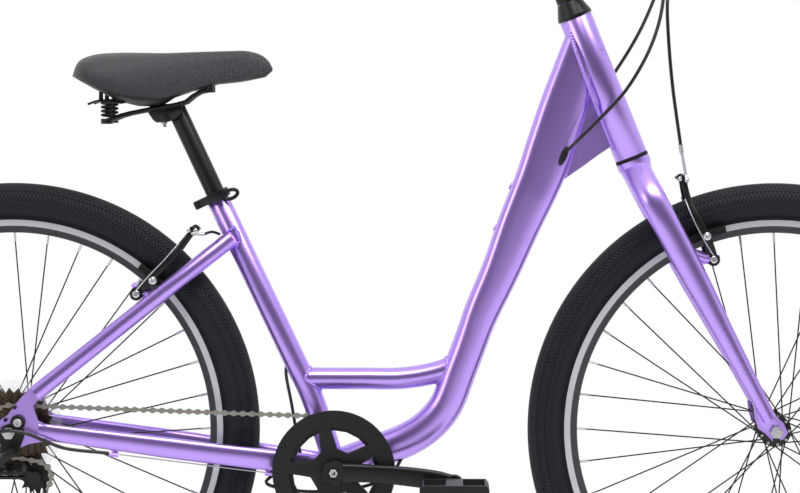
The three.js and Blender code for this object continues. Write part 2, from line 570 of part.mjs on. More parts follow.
// Headset cover, stem and handlebar
const COVER_HEIGHT = 24;
const COVER_R = 25;
const COVER_TOP_R = 17.5;
const STEM_HEIGHT = 40;
const STEM_REACH = 80;
const STEM_RISE = 34;
const STEM_R = 17.5;
const BAR_R = 11.1;
const BAR_CLAMP_R = 15.9;
const STEM_WALL = 4.5;
const BAR_CLAMP_WIDTH = 44;
const BAR_WIDTH = 660;
const BAR_RISE = 62;
const BAR_SWEEP = 62;
const GRIP_LENGTH = 128;
const GRIP_R = 16.5;
const coverBottom = FORK_LENGTH + HEAD_TUBE_LENGTH + GAP;
const stemBottom = coverBottom + COVER_HEIGHT + GAP;
const steererTop = FORK_LENGTH - CROWN_GAP + STEERER_LENGTH;
const barCentre = steerPoint(STEM_REACH, stemBottom + STEM_HEIGHT / 2 + STEM_RISE);
function headsetTopCover() {
  return revolveRing([
    [STEERER_R + GAP, 0], [COVER_R, 0], [COVER_R, COVER_HEIGHT * 0.18], [COVER_TOP_R, COVER_HEIGHT],
    [STEERER_R + GAP, COVER_HEIGHT],
  ], 16, steerPoint(0, coverBottom), steerUp);
}
function stem() {
  const post = revolve([
    [0, 0], [STEM_R, 0], [STEM_R, STEM_HEIGHT], [STEM_R * 0.9, STEM_HEIGHT + GAP * 10], [0, STEM_HEIGHT + GAP * 10],
  ], 14, steerPoint(0, stemBottom), steerUp);
  const arm = loft([0, 0.35, 0.8, 1].map((t) => ({
    centre: steerPoint(0, stemBottom + STEM_HEIGHT / 2).lerp(barCentre, t),
    u: at(0, 0, 1), v: Y, a: STEM_R * (0.95 - 0.12 * t), b: STEM_R * (0.95 - 0.1 * t), power: 2.6, sides: 8,
  })));
  const clamp = bar(along(barCentre, Y, -BAR_CLAMP_WIDTH / 2), along(barCentre, Y, BAR_CLAMP_WIDTH / 2),
    BAR_CLAMP_R + GAP + STEM_WALL, 12);
  const barHole = bore(
    along(barCentre, Y, -BAR_CLAMP_WIDTH), along(barCentre, Y, BAR_CLAMP_WIDTH), BAR_CLAMP_R + GAP, 12);
  const steererHole = bore(steerPoint(0, stemBottom - OVER), steerPoint(0, steererTop + GAP), STEERER_R + GAP, 12);
  return cut(join(post, arm, clamp), barHole, steererHole);
}
const barShares = [
  [0, 0, 0], [0.11, 0, 0], [0.2, 0.3, 0.02], [0.32, 0.9, 0.05], [0.42, 1, 0.16], [0.7, 0.98, 0.56], [1, 0.94, 1],
];
const barLine = new THREE.CatmullRomCurve3(
  barShares.map(([out, up, back]) => at(
    barCentre.x - back * BAR_SWEEP, (out * BAR_WIDTH) / 2, barCentre.z + up * BAR_RISE)), false, "centripetal");
const barLength = barLine.getLength();
const barPoint = (fromEnd) => barLine.getPointAt(1 - fromEnd / barLength);
const barTangent = (fromEnd) => barLine.getTangentAt(1 - fromEnd / barLength);
const barTube = (grow = 0) => {
  const half = barLine.getPoints(18);
  return tube([...mirrored(half).slice(1).reverse(), ...half], BAR_R + grow, { sides: 8, steps: 26 });
};
function handlebar() {
  const middle = bar(
    along(barCentre, Y, -BAR_CLAMP_WIDTH * 0.6), along(barCentre, Y, BAR_CLAMP_WIDTH * 0.6), BAR_CLAMP_R, 12);
  return join(barTube(), middle);
}
function grip() {
  const start = barPoint(GRIP_LENGTH);
  const end = along(barPoint(0), barTangent(0), GAP * 8);
  const length = start.distanceTo(end);
  const outer = revolve([
    [0, 0], [GRIP_R * 1.2, 0], [GRIP_R * 1.2, length * 0.03], [GRIP_R * 0.95, length * 0.07],
    [GRIP_R * 1.06, length * 0.75], [GRIP_R, length], [0, length],
  ], 10, start, end.clone().sub(start));
  return cut(outer, barTube(GAP));
}

// Brake lever bodies and levers, with the thumb shifter on the right
const BODY_R = 16;
const BODY_WIDTH = 22;
const BODY_AT = GRIP_LENGTH + BODY_WIDTH;
const BLADE_LEVER_LENGTH = 96;
const BLADE_LEVER_WIDTH = 15;
const BLADE_LEVER_T = 8;
const leverFore = at(Math.cos(radians(40)), 0, -Math.sin(radians(40)));
const leverPivot = () => along(along(barPoint(BODY_AT), leverFore, BAR_R * 2.7), barTangent(BODY_AT), -BODY_WIDTH * 0.1);
const leverAxis = () => new THREE.Vector3().crossVectors(barTangent(BODY_AT), leverFore).normalize();
function clampOnBar(fromEnd, r, width) {
  const [middle, direction] = [barPoint(fromEnd), barTangent(fromEnd)];
  return bar(along(middle, direction, -width / 2), along(middle, direction, width / 2), r, 10);
}
function brakeBody(withShifter) {
  const direction = barTangent(BODY_AT);
  const clamp = clampOnBar(BODY_AT, BODY_R, BODY_WIDTH);
  const pivot = leverPivot();
  const neck = loft([0, 0.6, 1].map((t) => ({
    centre: barPoint(BODY_AT).lerp(along(pivot, leverFore, BAR_R * 0.8), t), u: direction, v: leverAxis(),
    a: BODY_WIDTH * (0.5 - 0.08 * t), b: BODY_R * (0.85 - 0.1 * t), power: 4, sides: 6,
  })));
  const entry = along(pivot, direction, -BODY_WIDTH * 0.4);
  const barrel = bar(entry, along(entry, direction, -BODY_WIDTH), CABLE_R * 2, 6, CABLE_R * 1.7);
  const slot = new THREE.BoxGeometry(BODY_WIDTH * 2.5, BODY_WIDTH * 1.9, BLADE_LEVER_T + 2 * RUN);
  slot.applyMatrix4(new THREE.Matrix4().makeBasis(direction, leverFore, leverAxis().negate())
    .setPosition(along(along(pivot, direction, BODY_WIDTH * 0.8), leverFore, BODY_WIDTH * 0.42)));
  const pin = bar(along(pivot, leverAxis(), -BODY_R * 0.72), along(pivot, leverAxis(), BODY_R * 0.72), CLAMP_PIN_R, 6);
  const body = cut(join(clamp, neck, barrel), toSolid(slot), barTube(GAP));
  return withShifter ? join(body, pin, shifterBody()) : join(body, pin);
}
const SHIFTER_AT = BODY_AT + BODY_WIDTH * 1.6;
const SHIFTER_R = 17;
const SHIFTER_T = 15;
const shifterUp = at(-0.18, 0, 0.984);
const shifterOut = at(0.55, -0.8, 0.1).normalize(); // the way its cable leaves, drawn for the left side
const shifterCentre = () => along(barPoint(SHIFTER_AT), shifterUp, -BAR_R - SHIFTER_T * 0.7);
function shifterBody() {
  const clamp = clampOnBar(SHIFTER_AT - 2 * GAP, BAR_R + STEM_WALL, SHIFTER_R * 1.4);
  const centre = shifterCentre();
  const pod = revolve([
    [0, -SHIFTER_T / 2], [SHIFTER_R, -SHIFTER_T / 2], [SHIFTER_R, SHIFTER_T * 0.4], [0, SHIFTER_T * 0.6],
  ], 12, centre, shifterUp);
  const entry = along(centre, shifterOut, SHIFTER_R * 0.8);
  const barrel = bar(entry, along(entry, shifterOut, SHIFTER_R), CABLE_R * 1.7, 6);
  return cut(join(clamp, pod, barrel), barTube(GAP));
}
function brakeLever() {
  const pivot = leverPivot();
  const direction = barTangent(BODY_AT);
  const axis = leverAxis();
  const eye = bar(
    along(pivot, axis, -BLADE_LEVER_T / 2), along(pivot, axis, BLADE_LEVER_T / 2), BLADE_LEVER_WIDTH * 0.55, 10);
  const bladeShares = [[0, 0, 0.5], [0.12, 0.15, 0.62], [0.35, 0.6, 0.5], [0.9, 1.6, 0.5], [1, 1.85, 0.3]];
  const blade = loft(bladeShares.map(([t, out, width]) => ({
    centre: along(along(pivot, direction, t * BLADE_LEVER_LENGTH), leverFore, out * BLADE_LEVER_WIDTH),
    u: leverFore, v: axis, a: BLADE_LEVER_WIDTH * width, b: (BLADE_LEVER_T / 2) * (1 + 0.25 * t),
    power: 2.6, sides: 8,
  })));
  const hole = bore(along(pivot, axis, -BLADE_LEVER_T), along(pivot, axis, BLADE_LEVER_T), CLAMP_PIN_R + GAP, 8);
  return cut(join(eye, blade), hole);
}
function shiftLever() {
  const centre = along(shifterCentre(), shifterUp, -SHIFTER_T * 0.6 - GAP);
  const hub = bar(centre, along(centre, shifterUp, -SHIFTER_T * 0.35), SHIFTER_R * 0.7, 14);
  const back = at(-0.95, 0.3, -0.05).normalize();
  const side = new THREE.Vector3().crossVectors(shifterUp, back).normalize();
  const paddle = loft([[0, 0.5], [0.5, 0.38], [0.85, 0.42], [1, 0.25]].map(([t, size]) => ({
    centre: along(along(centre, shifterUp, -SHIFTER_T * (0.18 + 0.1 * t)), back, t * SHIFTER_R * 2),
    u: side, v: shifterUp, a: SHIFTER_R * size, b: SHIFTER_T * 0.14, power: 3, sides: 8,
  })));
  return join(hub, paddle);
}

// Wheels
const WHEEL_SIDES = 36;
function tyre(centre) {
  const half = TYRE_WIDTH / 2;
  const seat = RIM_R - BEAD_DEPTH + GAP;
  const middle = TYRE_R - half;
  const bead = RIM_WIDTH / 2 - RIM_WALL - GAP;
  const outer = [[seat, bead], [RIM_R + GAP, bead], [middle - half * 0.1, half],
    [middle + half * 0.6, half * 0.8], [TYRE_R, 0]];
  const inner = [[TYRE_R - TYRE_WALL, 0], [middle, half - TYRE_WALL], [seat, bead - TYRE_WALL]];
  const flipped = (points) => points.map(([r, y]) => [r, -y]);
  const profile = [...outer, ...flipped(outer).reverse().slice(1), ...flipped(inner).reverse(), ...inner.slice(1)];
  return revolveRing(profile, WHEEL_SIDES, centre, Y);
}
function rim(centre) {
  const half = RIM_WIDTH / 2;
  const inner = RIM_R - RIM_DEPTH;
  const outside = [
    [RIM_R, half], [RIM_R - RIM_TRACK, half], [inner, half * 0.4],
  ];
  const well = [[RIM_R, -half + RIM_WALL], [RIM_R - BEAD_DEPTH, -half + RIM_WALL]];
  const opposite = (points) => points.map(([r, y]) => [r, -y]).reverse();
  return revolveRing([...outside, ...opposite(outside), ...well, ...opposite(well)], WHEEL_SIDES, centre, Y);
}
const HUB_SIDES = 10;
function hub(centre, width, rightFlange, leftFlange) {
  const end = width / 2 - LOCKNUT_T;
  const half = HUB_FLANGE_T / 2;
  const shell = revolve([
    [0, -end], [HUB_END_R, -end], [HUB_END_R, -rightFlange - half], [HUB_FLANGE_R, -rightFlange - half],
    [HUB_FLANGE_R, -rightFlange + half], [HUB_SHELL_R, -rightFlange + half], [HUB_SHELL_R, leftFlange - half],
    [HUB_FLANGE_R, leftFlange - half], [HUB_FLANGE_R, leftFlange + half], [HUB_END_R, leftFlange + half],
    [HUB_END_R, end], [0, end],
  ], HUB_SIDES, centre, Y);
  const hole = bore(along(centre, Y, -width), along(centre, Y, width), AXLE_R + RUN, 8);
  const perSide = SPOKES / 2;
  const pitch = (2 * Math.PI) / perSide;
  const reach = RIM_R - RIM_DEPTH - GAP;
  const laced = Array.from({ length: SPOKES }, (_, i) => {
    const side = i % 2 ? LEFT : RIGHT;
    const k = (i - (i % 2)) / 2;
    const turn = k % 2 ? 1 : -1;
    const hubAngle = k * pitch + (side === LEFT ? pitch / 2 : 0);
    const rimAngle = hubAngle + turn * SPOKE_CROSS * pitch;
    const flangeY = side === LEFT ? leftFlange : -rightFlange;
    const around = (angle, r, y) => at(centre.x + r * Math.cos(angle), y, centre.z + r * Math.sin(angle));
    const start = around(hubAngle, HUB_FLANGE_R * 0.86, flangeY + turn * (half + SPOKE_R * 0.3));
    return bar(start, around(rimAngle, reach, side * RIM_WIDTH * 0.1), SPOKE_R, 3);
  });
  return cut(join(shell, laced), hole);
}
function axle(centre, width, dropoutWidth, rightExtra = 0) {
  const nutAt = width / 2 + dropoutWidth + GAP;
  const lockAt = width / 2 - LOCKNUT_T + GAP;
  const ends = [[RIGHT, rightExtra], [LEFT, 0]].flatMap(([side, extra]) => {
    const bit = (from, to, r, sides) => bar(
      along(centre, Y, side * Math.min(from, to)), along(centre, Y, side * Math.max(from, to)), r, sides);
    return [
      bit(lockAt, width / 2 - GAP, LOCKNUT_R, 6), bit(nutAt + extra, nutAt + extra + AXLE_NUT_T, AXLE_NUT_R, 6),
    ];
  });
  const reach = nutAt + AXLE_NUT_T * 1.25;
  return join(bar(along(centre, Y, -reach - rightExtra), along(centre, Y, reach), AXLE_R, 8), ends);
}

// Sprockets: teeth stand between the chain's rollers, whose centres lie on the pitch circle
const CHAIN_PITCH = 12.7;
const CHAIN_LINE = -50;
const COG_PITCH = 5;
const COG_T = 1.9;
const ROLLER_R = 3.3;
const TOOTH_RISE = 2.9;
const TOOTH_ROOT = 4.4;
const TOOTH_FLOOR = 2.1; // half the width of the floor between teeth
const pitchRadius = (teeth) => CHAIN_PITCH / (2 * Math.sin(Math.PI / teeth));
function toothOutline(teeth, x, z, phase, full) {
  const r = pitchRadius(teeth);
  const step = (2 * Math.PI) / teeth;
  const root = full ? [-TOOTH_FLOOR, TOOTH_FLOOR] : [0];
  return Array.from({ length: teeth }, (_, i) => {
    const gap = phase + i * step;
    const spots = [
      ...root.map((offset) => [gap + offset / r, r - TOOTH_ROOT]),
      [gap + step / 2, r + TOOTH_RISE],
    ];
    return spots.map(([angle, reach]) => [x + reach * Math.cos(angle), z + reach * Math.sin(angle)]);
  }).flat();
}
const sprocket = (teeth, centre, phase, y, thickness, full = true) => plate(
  toothOutline(teeth, centre.x, centre.z, phase, full), y - thickness / 2, thickness);

// Chain path: round the chainring, the tension pulley, the guide pulley and the third smallest cog
const RING_TEETH = 38;
const COGS = [14, 16, 18, 20, 22, 24, 28]; // from the outside in
const CHAIN_COG = 2;
const PULLEY_TEETH = 11;
const PULLEY_T = 2;
const CAGE_LENGTH = 56;
const CAGE_REST = radians(-75);
const CAGE_SEARCH = radians(35); // the settled cage angle is looked for this far each way
const CHAIN_TRIES = 50;
const GUIDE_FORE = 34; // guide pulley ahead of the axle
const GUIDE_DROP = 65;
const guideCentre = at(rearAxle.x + GUIDE_FORE, 0, rearAxle.z - GUIDE_DROP);
const cogCentre = rearAxle;

// Walks round the circles in the chain's direction. Straight runs and arcs are counted in links.
function chainRuns(cageAngle) {
  const tension = at(
    guideCentre.x + CAGE_LENGTH * Math.cos(cageAngle), 0, guideCentre.z + CAGE_LENGTH * Math.sin(cageAngle));
  const stops = [
    { centre: bracket, teeth: RING_TEETH, turn: 1 }, { centre: tension, teeth: PULLEY_TEETH, turn: 1 },
    { centre: guideCentre, teeth: PULLEY_TEETH, turn: -1 }, { centre: cogCentre, teeth: COGS[CHAIN_COG], turn: 1 },
  ].map((stop) => ({ ...stop, r: pitchRadius(stop.teeth) }));
  const spans = stops.map((from, i) => {
    const to = stops[(i + 1) % stops.length];
    const [dx, dz] = [to.centre.x - from.centre.x, to.centre.z - from.centre.z];
    const distance = Math.hypot(dx, dz);
    const heading = Math.atan2(dz, dx) + Math.asin((to.turn * to.r - from.turn * from.r) / distance);
    const leave = heading + from.turn * (Math.PI / 2);
    const arrive = heading + to.turn * (Math.PI / 2);
    const run = Math.sqrt(distance ** 2 - (to.turn * to.r - from.turn * from.r) ** 2);
    return { from, to, leave, arrive, run };
  });
  const runs = [];
  spans.forEach((span, i) => {
    const next = spans[(i + 1) % spans.length];
    runs.push({ kind: "straight", span, links: span.run / CHAIN_PITCH });
    const turned = span.to.turn * (span.arrive - next.leave);
    const sweep = ((turned % (2 * Math.PI)) + 2 * Math.PI) % (2 * Math.PI);
    runs.push({ kind: "arc", stop: span.to, start: span.arrive, sweep, links: (sweep / (2 * Math.PI)) * span.to.teeth });
  });
  return { runs, links: runs.reduce((sum, run) => sum + run.links, 0), tension };
}
// The cage angle at which the loop is a whole, even number of links long.
function settleChain() {
  const count = 2 * Math.round(chainRuns(CAGE_REST).links / 2);
  let [slack, taut] = [CAGE_REST + CAGE_SEARCH, CAGE_REST - CAGE_SEARCH];
  for (let i = 0; i < CHAIN_TRIES; i += 1) {
    const middle = (slack + taut) / 2;
    if (chainRuns(middle).links < count) slack = middle;
    else taut = middle;
  }
  return { ...chainRuns(slack), cageAngle: slack, count };
}
const chainPath = settleChain();
function chainPins() {
  const pins = [];
  let done = 0;
  for (const run of chainPath.runs) {
    for (let k = Math.ceil(done - MERGE); k < done + run.links - MERGE && k < chainPath.count; k += 1) {
      const part = (k - done) / run.links;
      if (run.kind === "straight") {
        const { from, to, leave, arrive } = run.span;
        const start = [from.centre.x + from.r * Math.cos(leave), from.centre.z + from.r * Math.sin(leave)];
        const end = [to.centre.x + to.r * Math.cos(arrive), to.centre.z + to.r * Math.sin(arrive)];
        pins.push([THREE.MathUtils.lerp(start[0], end[0], part), THREE.MathUtils.lerp(start[1], end[1], part)]);
      } else {
        const angle = run.start - run.stop.turn * part * run.sweep;
        pins.push([run.stop.centre.x + run.stop.r * Math.cos(angle), run.stop.centre.z + run.stop.r * Math.sin(angle)]);
        run.phase = run.phase ?? angle;
      }
    }
    done += run.links;
  }
  return pins;
}
const pins = chainPins();
const phaseAt = (centre) => chainPath.runs.find((run) => run.stop?.centre === centre).phase;
const CHAIN_HEIGHT = 8.2;
const STRAIGHT_EVERY = 12;
const CHAIN_INNER = 1.35;
const CHAIN_OUTER = 3.6;
const ROLLER_EVERY = 3; // only every so many pins carry a roller
// Two bands of side plates joined by rollers. Where the chain runs straight, the bands have fewer corners.
function chain() {
  const count = pins.length;
  const next = (i, step) => pins[(i + step + count) % count];
  const bend = (i) => {
    const [[px, pz], [x, z], [nx, nz]] = [next(i, -1), pins[i], next(i, 1)];
    return Math.abs((x - px) * (nz - z) - (z - pz) * (nx - x)) > CHAIN_PITCH * MERGE * CHAIN_PITCH;
  };
  const corners = pins.map((_, i) => i).filter((i) => bend(i) || i % STRAIGHT_EVERY === 0);
  const edge = (side) => corners.map((i) => {
    const [[px, pz], [x, z], [nx, nz]] = [next(i, -1), pins[i], next(i, 1)];
    const reach = (side * CHAIN_HEIGHT) / 2 / Math.hypot(nx - px, nz - pz);
    return [x - (nz - pz) * reach, z + (nx - px) * reach];
  });
  const [outer, inner] = [edge(1), edge(-1)];
  const width = CHAIN_OUTER - CHAIN_INNER;
  const bands = [CHAIN_LINE - CHAIN_OUTER, CHAIN_LINE + CHAIN_INNER].map((y) => hoop(outer.map(([ox, oz], i) => {
    const [ix, iz] = inner[i];
    return [at(ox, y, oz), at(ix, y, iz), at(ix, y + width, iz), at(ox, y + width, oz)];
  })));
  const rollers = pins.map(([x, z], i) => {
    const [nx, nz] = next(i, 1);
    const outline = circle(x, z, ROLLER_R, 3, Math.atan2(nz - z, nx - x));
    return plate(outline, CHAIN_LINE - CHAIN_OUTER + width / 2, 2 * CHAIN_OUTER - width);
  }).filter((_, i) => i % ROLLER_EVERY === 0);
  return join(bands, rollers);
}

// Clear disc between the largest cog and the spokes
const PROTECTOR_R = 71;
const PROTECTOR_T = 1.6;
function spokeProtector() {
  const y = CHAIN_LINE + (COGS.length - 1 - CHAIN_COG) * COG_PITCH + COG_PITCH;
  const r = PROTECTOR_R;
  return revolveRing([
    [HUB_END_R + RUN, y - PROTECTOR_T / 2], [r, y - PROTECTOR_T / 2], [r, y + PROTECTOR_T / 2],
    [HUB_END_R + RUN, y + PROTECTOR_T / 2],
  ], 20, rearAxle, Y);
}

// Freewheel, chainring, guard and cranks
const RING_T = 2.2;
const RING_BORE_R = 58;
const GUARD_R = 86.6;
const GUARD_WINDOW_R = 63.4;
const GUARD_T = 2.6;
const GUARD_SETBACK = 6.4;
const SPIDER_ARMS = 5;
const SPIDER_WIDTH = 21;
const SPIDER_HUB_R = 27;
const CRANK_LENGTH = 170;
const CRANK_ANGLE = -5.5;
const CRANK_BOSS_R = 17;
const CRANK_T = 14;
const CRANK_RIGHT_Y = 62;
const CRANK_LEFT_Y = 56;
const CRANK_FLARE = 10;
const CRANK_BOLT_R = 7.5;
const SPINDLE_END = 70;
const PEDAL_LENGTH = 96;
const PEDAL_WIDTH = 92;
const PEDAL_HEIGHT = 22;
const PEDAL_AXLE_R = 5;
const PEDAL_BODY_R = 12;
const PEDAL_WALL = 6;
const crankUp = at(Math.sin(radians(CRANK_ANGLE)) * -1, 0, Math.cos(radians(CRANK_ANGLE)));
const crankFore = at(Math.cos(radians(CRANK_ANGLE)), 0, Math.sin(radians(CRANK_ANGLE)));
function freewheel() {
  const phase = phaseAt(cogCentre);
  const y = (i) => CHAIN_LINE + (i - CHAIN_COG) * COG_PITCH;
  const inner = y(COGS.length - 1) + COG_T * 1.2;
  const outer = y(0) - COG_T * 1.6;
  const body = bar(along(cogCentre, Y, outer), along(cogCentre, Y, inner), pitchRadius(COGS[0]) * 0.72, 6);
  const hole = bore(along(cogCentre, Y, outer - OVER), along(cogCentre, Y, inner + OVER), HUB_END_R + RUN, 10);
  const cogs = COGS.map((teeth, i) => sprocket(teeth, cogCentre, phase, y(i), COG_T, i === CHAIN_COG));
  return cut(join(body, cogs), hole);
}
function chainring() {
  const hole = plate(circle(bracket.x, bracket.z, RING_BORE_R, 20), CHAIN_LINE - RING_T, 2 * RING_T);
  const toothed = sprocket(RING_TEETH, bracket, phaseAt(bracket), CHAIN_LINE, RING_T);
  const arms = Array.from({ length: SPIDER_ARMS }, (_, i) => {
    const angle = radians(CRANK_ANGLE) + radians(36) + (i / SPIDER_ARMS) * 2 * Math.PI;
    const arm = [[SPIDER_HUB_R * 0.8, 0.6], [RING_BORE_R + TOOTH_ROOT, 0.42], [RING_BORE_R + TOOTH_ROOT, -0.42],
      [SPIDER_HUB_R * 0.8, -0.6]].map(([r, w]) => [
      bracket.x + r * Math.cos(angle) - w * SPIDER_WIDTH * Math.sin(angle),
      bracket.z + r * Math.sin(angle) + w * SPIDER_WIDTH * Math.cos(angle)]);
    return plate(arm, CHAIN_LINE - RING_T / 2, RING_T);
  });
  const middle = plate(circle(bracket.x, bracket.z, SPIDER_HUB_R, 12), CHAIN_LINE - RING_T / 2, RING_T);
  return join(cut(toothed, hole), arms, cut(middle, spindleTool()));
}
const spindleTool = () => bore(
  at(bracket.x, -2 * SHELL_WIDTH, bracket.z), at(bracket.x, 2 * SHELL_WIDTH, bracket.z), SPINDLE_R + GAP, 12);
function chainGuard() {
  const y = CHAIN_LINE - GUARD_SETBACK - GUARD_T / 2;
  const windows = Array.from({ length: SPIDER_ARMS }, (_, i) => {
    const angle = radians(CRANK_ANGLE) + radians(72) + (i / SPIDER_ARMS) * 2 * Math.PI;
    const span = Math.PI / SPIDER_ARMS;
    const corner = (r, share) => [
      bracket.x + r * Math.cos(angle + share * span), bracket.z + r * Math.sin(angle + share * span)];
    return [...[-0.78, -0.27, 0.27, 0.78].map((share) => corner(GUARD_WINDOW_R, share)),
      ...[0.5, -0.5].map((share) => corner(SPIDER_HUB_R * 1.25, share))];
  });
  const disc = plate(circle(bracket.x, bracket.z, GUARD_R, 36), y, GUARD_T, windows);
  const studs = Array.from({ length: SPIDER_ARMS }, (_, i) => {
    const angle = radians(CRANK_ANGLE) + radians(36) + (i / SPIDER_ARMS) * 2 * Math.PI;
    const place = at(bracket.x + RING_BORE_R * Math.cos(angle), y, bracket.z + RING_BORE_R * Math.sin(angle));
    return bar(place, place.clone().setY(CHAIN_LINE - RING_T / 2 - GAP), GUARD_T * 1.5, 4);
  });
  const hole = bore(at(bracket.x, -2 * SHELL_WIDTH, bracket.z), at(bracket.x, 0, bracket.z), CRANK_BOSS_R + GAP, 16);
  return cut(join(disc, studs), hole);
}
function crankSpindle() {
  return bar(
    at(bracket.x, -SPINDLE_END, bracket.z), at(bracket.x, SPINDLE_END - SHELL_WIDTH * 0.08, bracket.z), SPINDLE_R, 12);
}
function crank(side, y, fore) {
  const pedalAt = along(bracket, fore, CRANK_LENGTH);
  const armShares = [[0, 1, 0], [0.1, 0.95, 0], [0.5, 0.68, 0.5], [0.88, 0.64, 0.95], [1.05, 0.6, 1]];
  const sections = armShares.map(([t, height, out]) => ({
    centre: along(bracket, fore, t * CRANK_LENGTH).setY(side * (y + CRANK_T / 2 + out * CRANK_FLARE)),
    u: at(-fore.z, 0, fore.x), v: Y, a: CRANK_BOSS_R * height, b: CRANK_T / 2, power: 3, sides: 8,
  }));
  const boss = bar(
    at(bracket.x, side * (y - CRANK_T * 0.45), bracket.z), at(bracket.x, side * (y + CRANK_T * 1.05), bracket.z),
    CRANK_BOSS_R, 14);
  const eye = bar(
    pedalAt.clone().setY(side * (y + CRANK_FLARE)), pedalAt.clone().setY(side * (y + CRANK_FLARE + CRANK_T)),
    CRANK_BOSS_R * 0.75, 10);
  const seat = bore(at(bracket.x, 0, bracket.z), at(bracket.x, side * (SPINDLE_END + GAP), bracket.z), SPINDLE_R + GAP);
  const recess = bore(
    at(bracket.x, side * SPINDLE_END, bracket.z), at(bracket.x, side * (y + 2 * CRANK_T), bracket.z), CRANK_BOLT_R, 8);
  const pedalHole = bore(
    pedalAt.clone().setY(side * y), pedalAt.clone().setY(side * (y + CRANK_FLARE + 2 * CRANK_T)), PEDAL_AXLE_R + GAP, 8);
  return cut(join(loft(sections), boss, eye), seat, recess, pedalHole);
}
function pedal(side, y, fore) {
  const middle = along(bracket, fore, CRANK_LENGTH);
  const start = y + CRANK_FLARE + CRANK_T + GAP * 4;
  const [near, far] = [start + OVER, start + PEDAL_WIDTH];
  const { x, z } = middle;
  const [half, top] = [PEDAL_LENGTH / 2, PEDAL_HEIGHT / 2];
  const outline = [
    [x - half, z - top * 0.5], [x - half * 0.92, z - top], [x + half * 0.92, z - top], [x + half, z - top * 0.5],
    [x + half, z + top * 0.5], [x + half * 0.92, z + top], [x - half * 0.92, z + top], [x - half, z + top * 0.5],
  ];
  const low = Math.min(side * near, side * far);
  const block = plate(outline, low, far - near);
  const room = (from, to) => {
    const box = new THREE.BoxGeometry(to - from, far - near - 2 * PEDAL_WALL, 2 * PEDAL_HEIGHT);
    box.translate(x + (from + to) / 2, side * (near + far) / 2, z);
    return toSolid(box);
  };
  const rooms = [room(-half + PEDAL_WALL, -PEDAL_BODY_R), room(PEDAL_BODY_R, half - PEDAL_WALL)];
  const shaft = bar(at(x, side * (y + CRANK_FLARE + GAP), z), at(x, side * near, z), PEDAL_AXLE_R, 8);
  const collar = bar(at(x, side * start, z), at(x, side * (near + GAP), z), PEDAL_AXLE_R * 1.7, 8);
  return join(cut(block, rooms), shaft, collar);
}

// Rear derailleur: a body on the axle's claw, two links, a knuckle and the cage with two pulleys
const CLAW_T = 3;
const HANGER_BOLT_R = 7;
const LINK_T = 3;
const LINK_WIDTH = 13;
const LINK_PIN_R = 2.2;
const CAGE_T = 1.6;
const CAGE_GAP = 4.6; // from the chain line to the inside of each cage plate
const CAGE_WIDTH = 17;
const KNUCKLE_R = 9.5;
const HANGER_FORE = 3; // hanger bolt ahead of the axle
const HANGER_DROP = 27;
const LINK_LENGTH = 36;
const LINK_OUT = 16; // pivots outside the chain line
const KNUCKLE_BACK = 16; // knuckle's pivot behind the guide pulley
const KNUCKLE_RISE = 10;
const SHIFT_SLANT = 44; // how steeply the cage goes down as it goes in
const clawY = -(REAR_HUB_WIDTH / 2 + DROPOUT_T + GAP + CLAW_T / 2);
const hangerBolt = at(rearAxle.x + HANGER_FORE, clawY, rearAxle.z - HANGER_DROP);
const knucklePivot = at(guideCentre.x - KNUCKLE_BACK, CHAIN_LINE - LINK_OUT, guideCentre.z + KNUCKLE_RISE);
const bodyPivot = along(knucklePivot, X, -LINK_LENGTH);
const linkLine = knucklePivot.clone().sub(bodyPivot);
const shiftMotion = at(0, Math.cos(radians(SHIFT_SLANT)), -Math.sin(radians(SHIFT_SLANT)));
const linkAxis = linkLine.clone().cross(shiftMotion).normalize();
const linkSide = new THREE.Vector3().crossVectors(linkAxis, linkLine).normalize();
const LINK_SPREAD = 9.5; // between the two links, across their pins
function claw() {
  const { x, z } = rearAxle;
  const r = AXLE_NUT_R * 1.4;
  const [bx, bz] = [hangerBolt.x, hangerBolt.z];
  const outline = [
    [x - r, z], [x - r * 0.7, z + r * 0.7], [x, z + r], [x + r * 1.6, z + r], [x + r * 1.7, z - r * 0.4],
    [bx + r * 0.9, bz + r * 0.2], [bx + r * 0.6, bz - r * 0.55], [bx - r * 0.6, bz - r * 0.55], [bx - r, bz],
    [x - r * 1.05, z - r],
  ];
  const hole = circle(x, z, AXLE_R + 2 * GAP, 8);
  return plate(outline, clawY - CLAW_T / 2, CLAW_T, [hole]);
}
function derailleurBody() {
  const boltEnd = hangerBolt.clone().setY(clawY - CLAW_T / 2 - HANGER_BOLT_R * 1.6);
  const bolt = join(
    bar(hangerBolt, boltEnd, HANGER_BOLT_R, 12),
    bar(boltEnd, along(boltEnd, Y, -HANGER_BOLT_R * 0.5), HANGER_BOLT_R * 0.8, 10));
  const top = hangerBolt.clone().setY(clawY - CLAW_T / 2 - HANGER_BOLT_R * 0.8);
  const bend = along(bodyPivot, linkSide, -KNUCKLE_R * 1.3);
  const neck = loft([[top, 0.9], [bend, 0.8], [bodyPivot, 0.75]].map(([centre, size]) => ({
    centre, u: linkLine.clone().normalize(), v: linkAxis, a: KNUCKLE_R * size, b: LINK_WIDTH * 0.5 * size,
    power: 3, sides: 8,
  })));
  const pivotBlock = bar(
    along(bodyPivot, linkAxis, -LINK_WIDTH * 0.42), along(bodyPivot, linkAxis, LINK_WIDTH * 0.42), KNUCKLE_R * 0.8, 8);
  const barrelStart = shiftRearHousing().at(-1).clone();
  const barrelTo = along(bodyPivot, X, -KNUCKLE_R * 0.75);
  const barrel = bar(
    along(barrelStart, barrelTo.clone().sub(barrelStart).normalize(), 2 * RUN), barrelTo, CABLE_R * 1.4, 6);
  return cut(join(claw(), bolt, neck, pivotBlock, barrel), linkPins(bodyPivot, LINK_PIN_R + GAP));
}
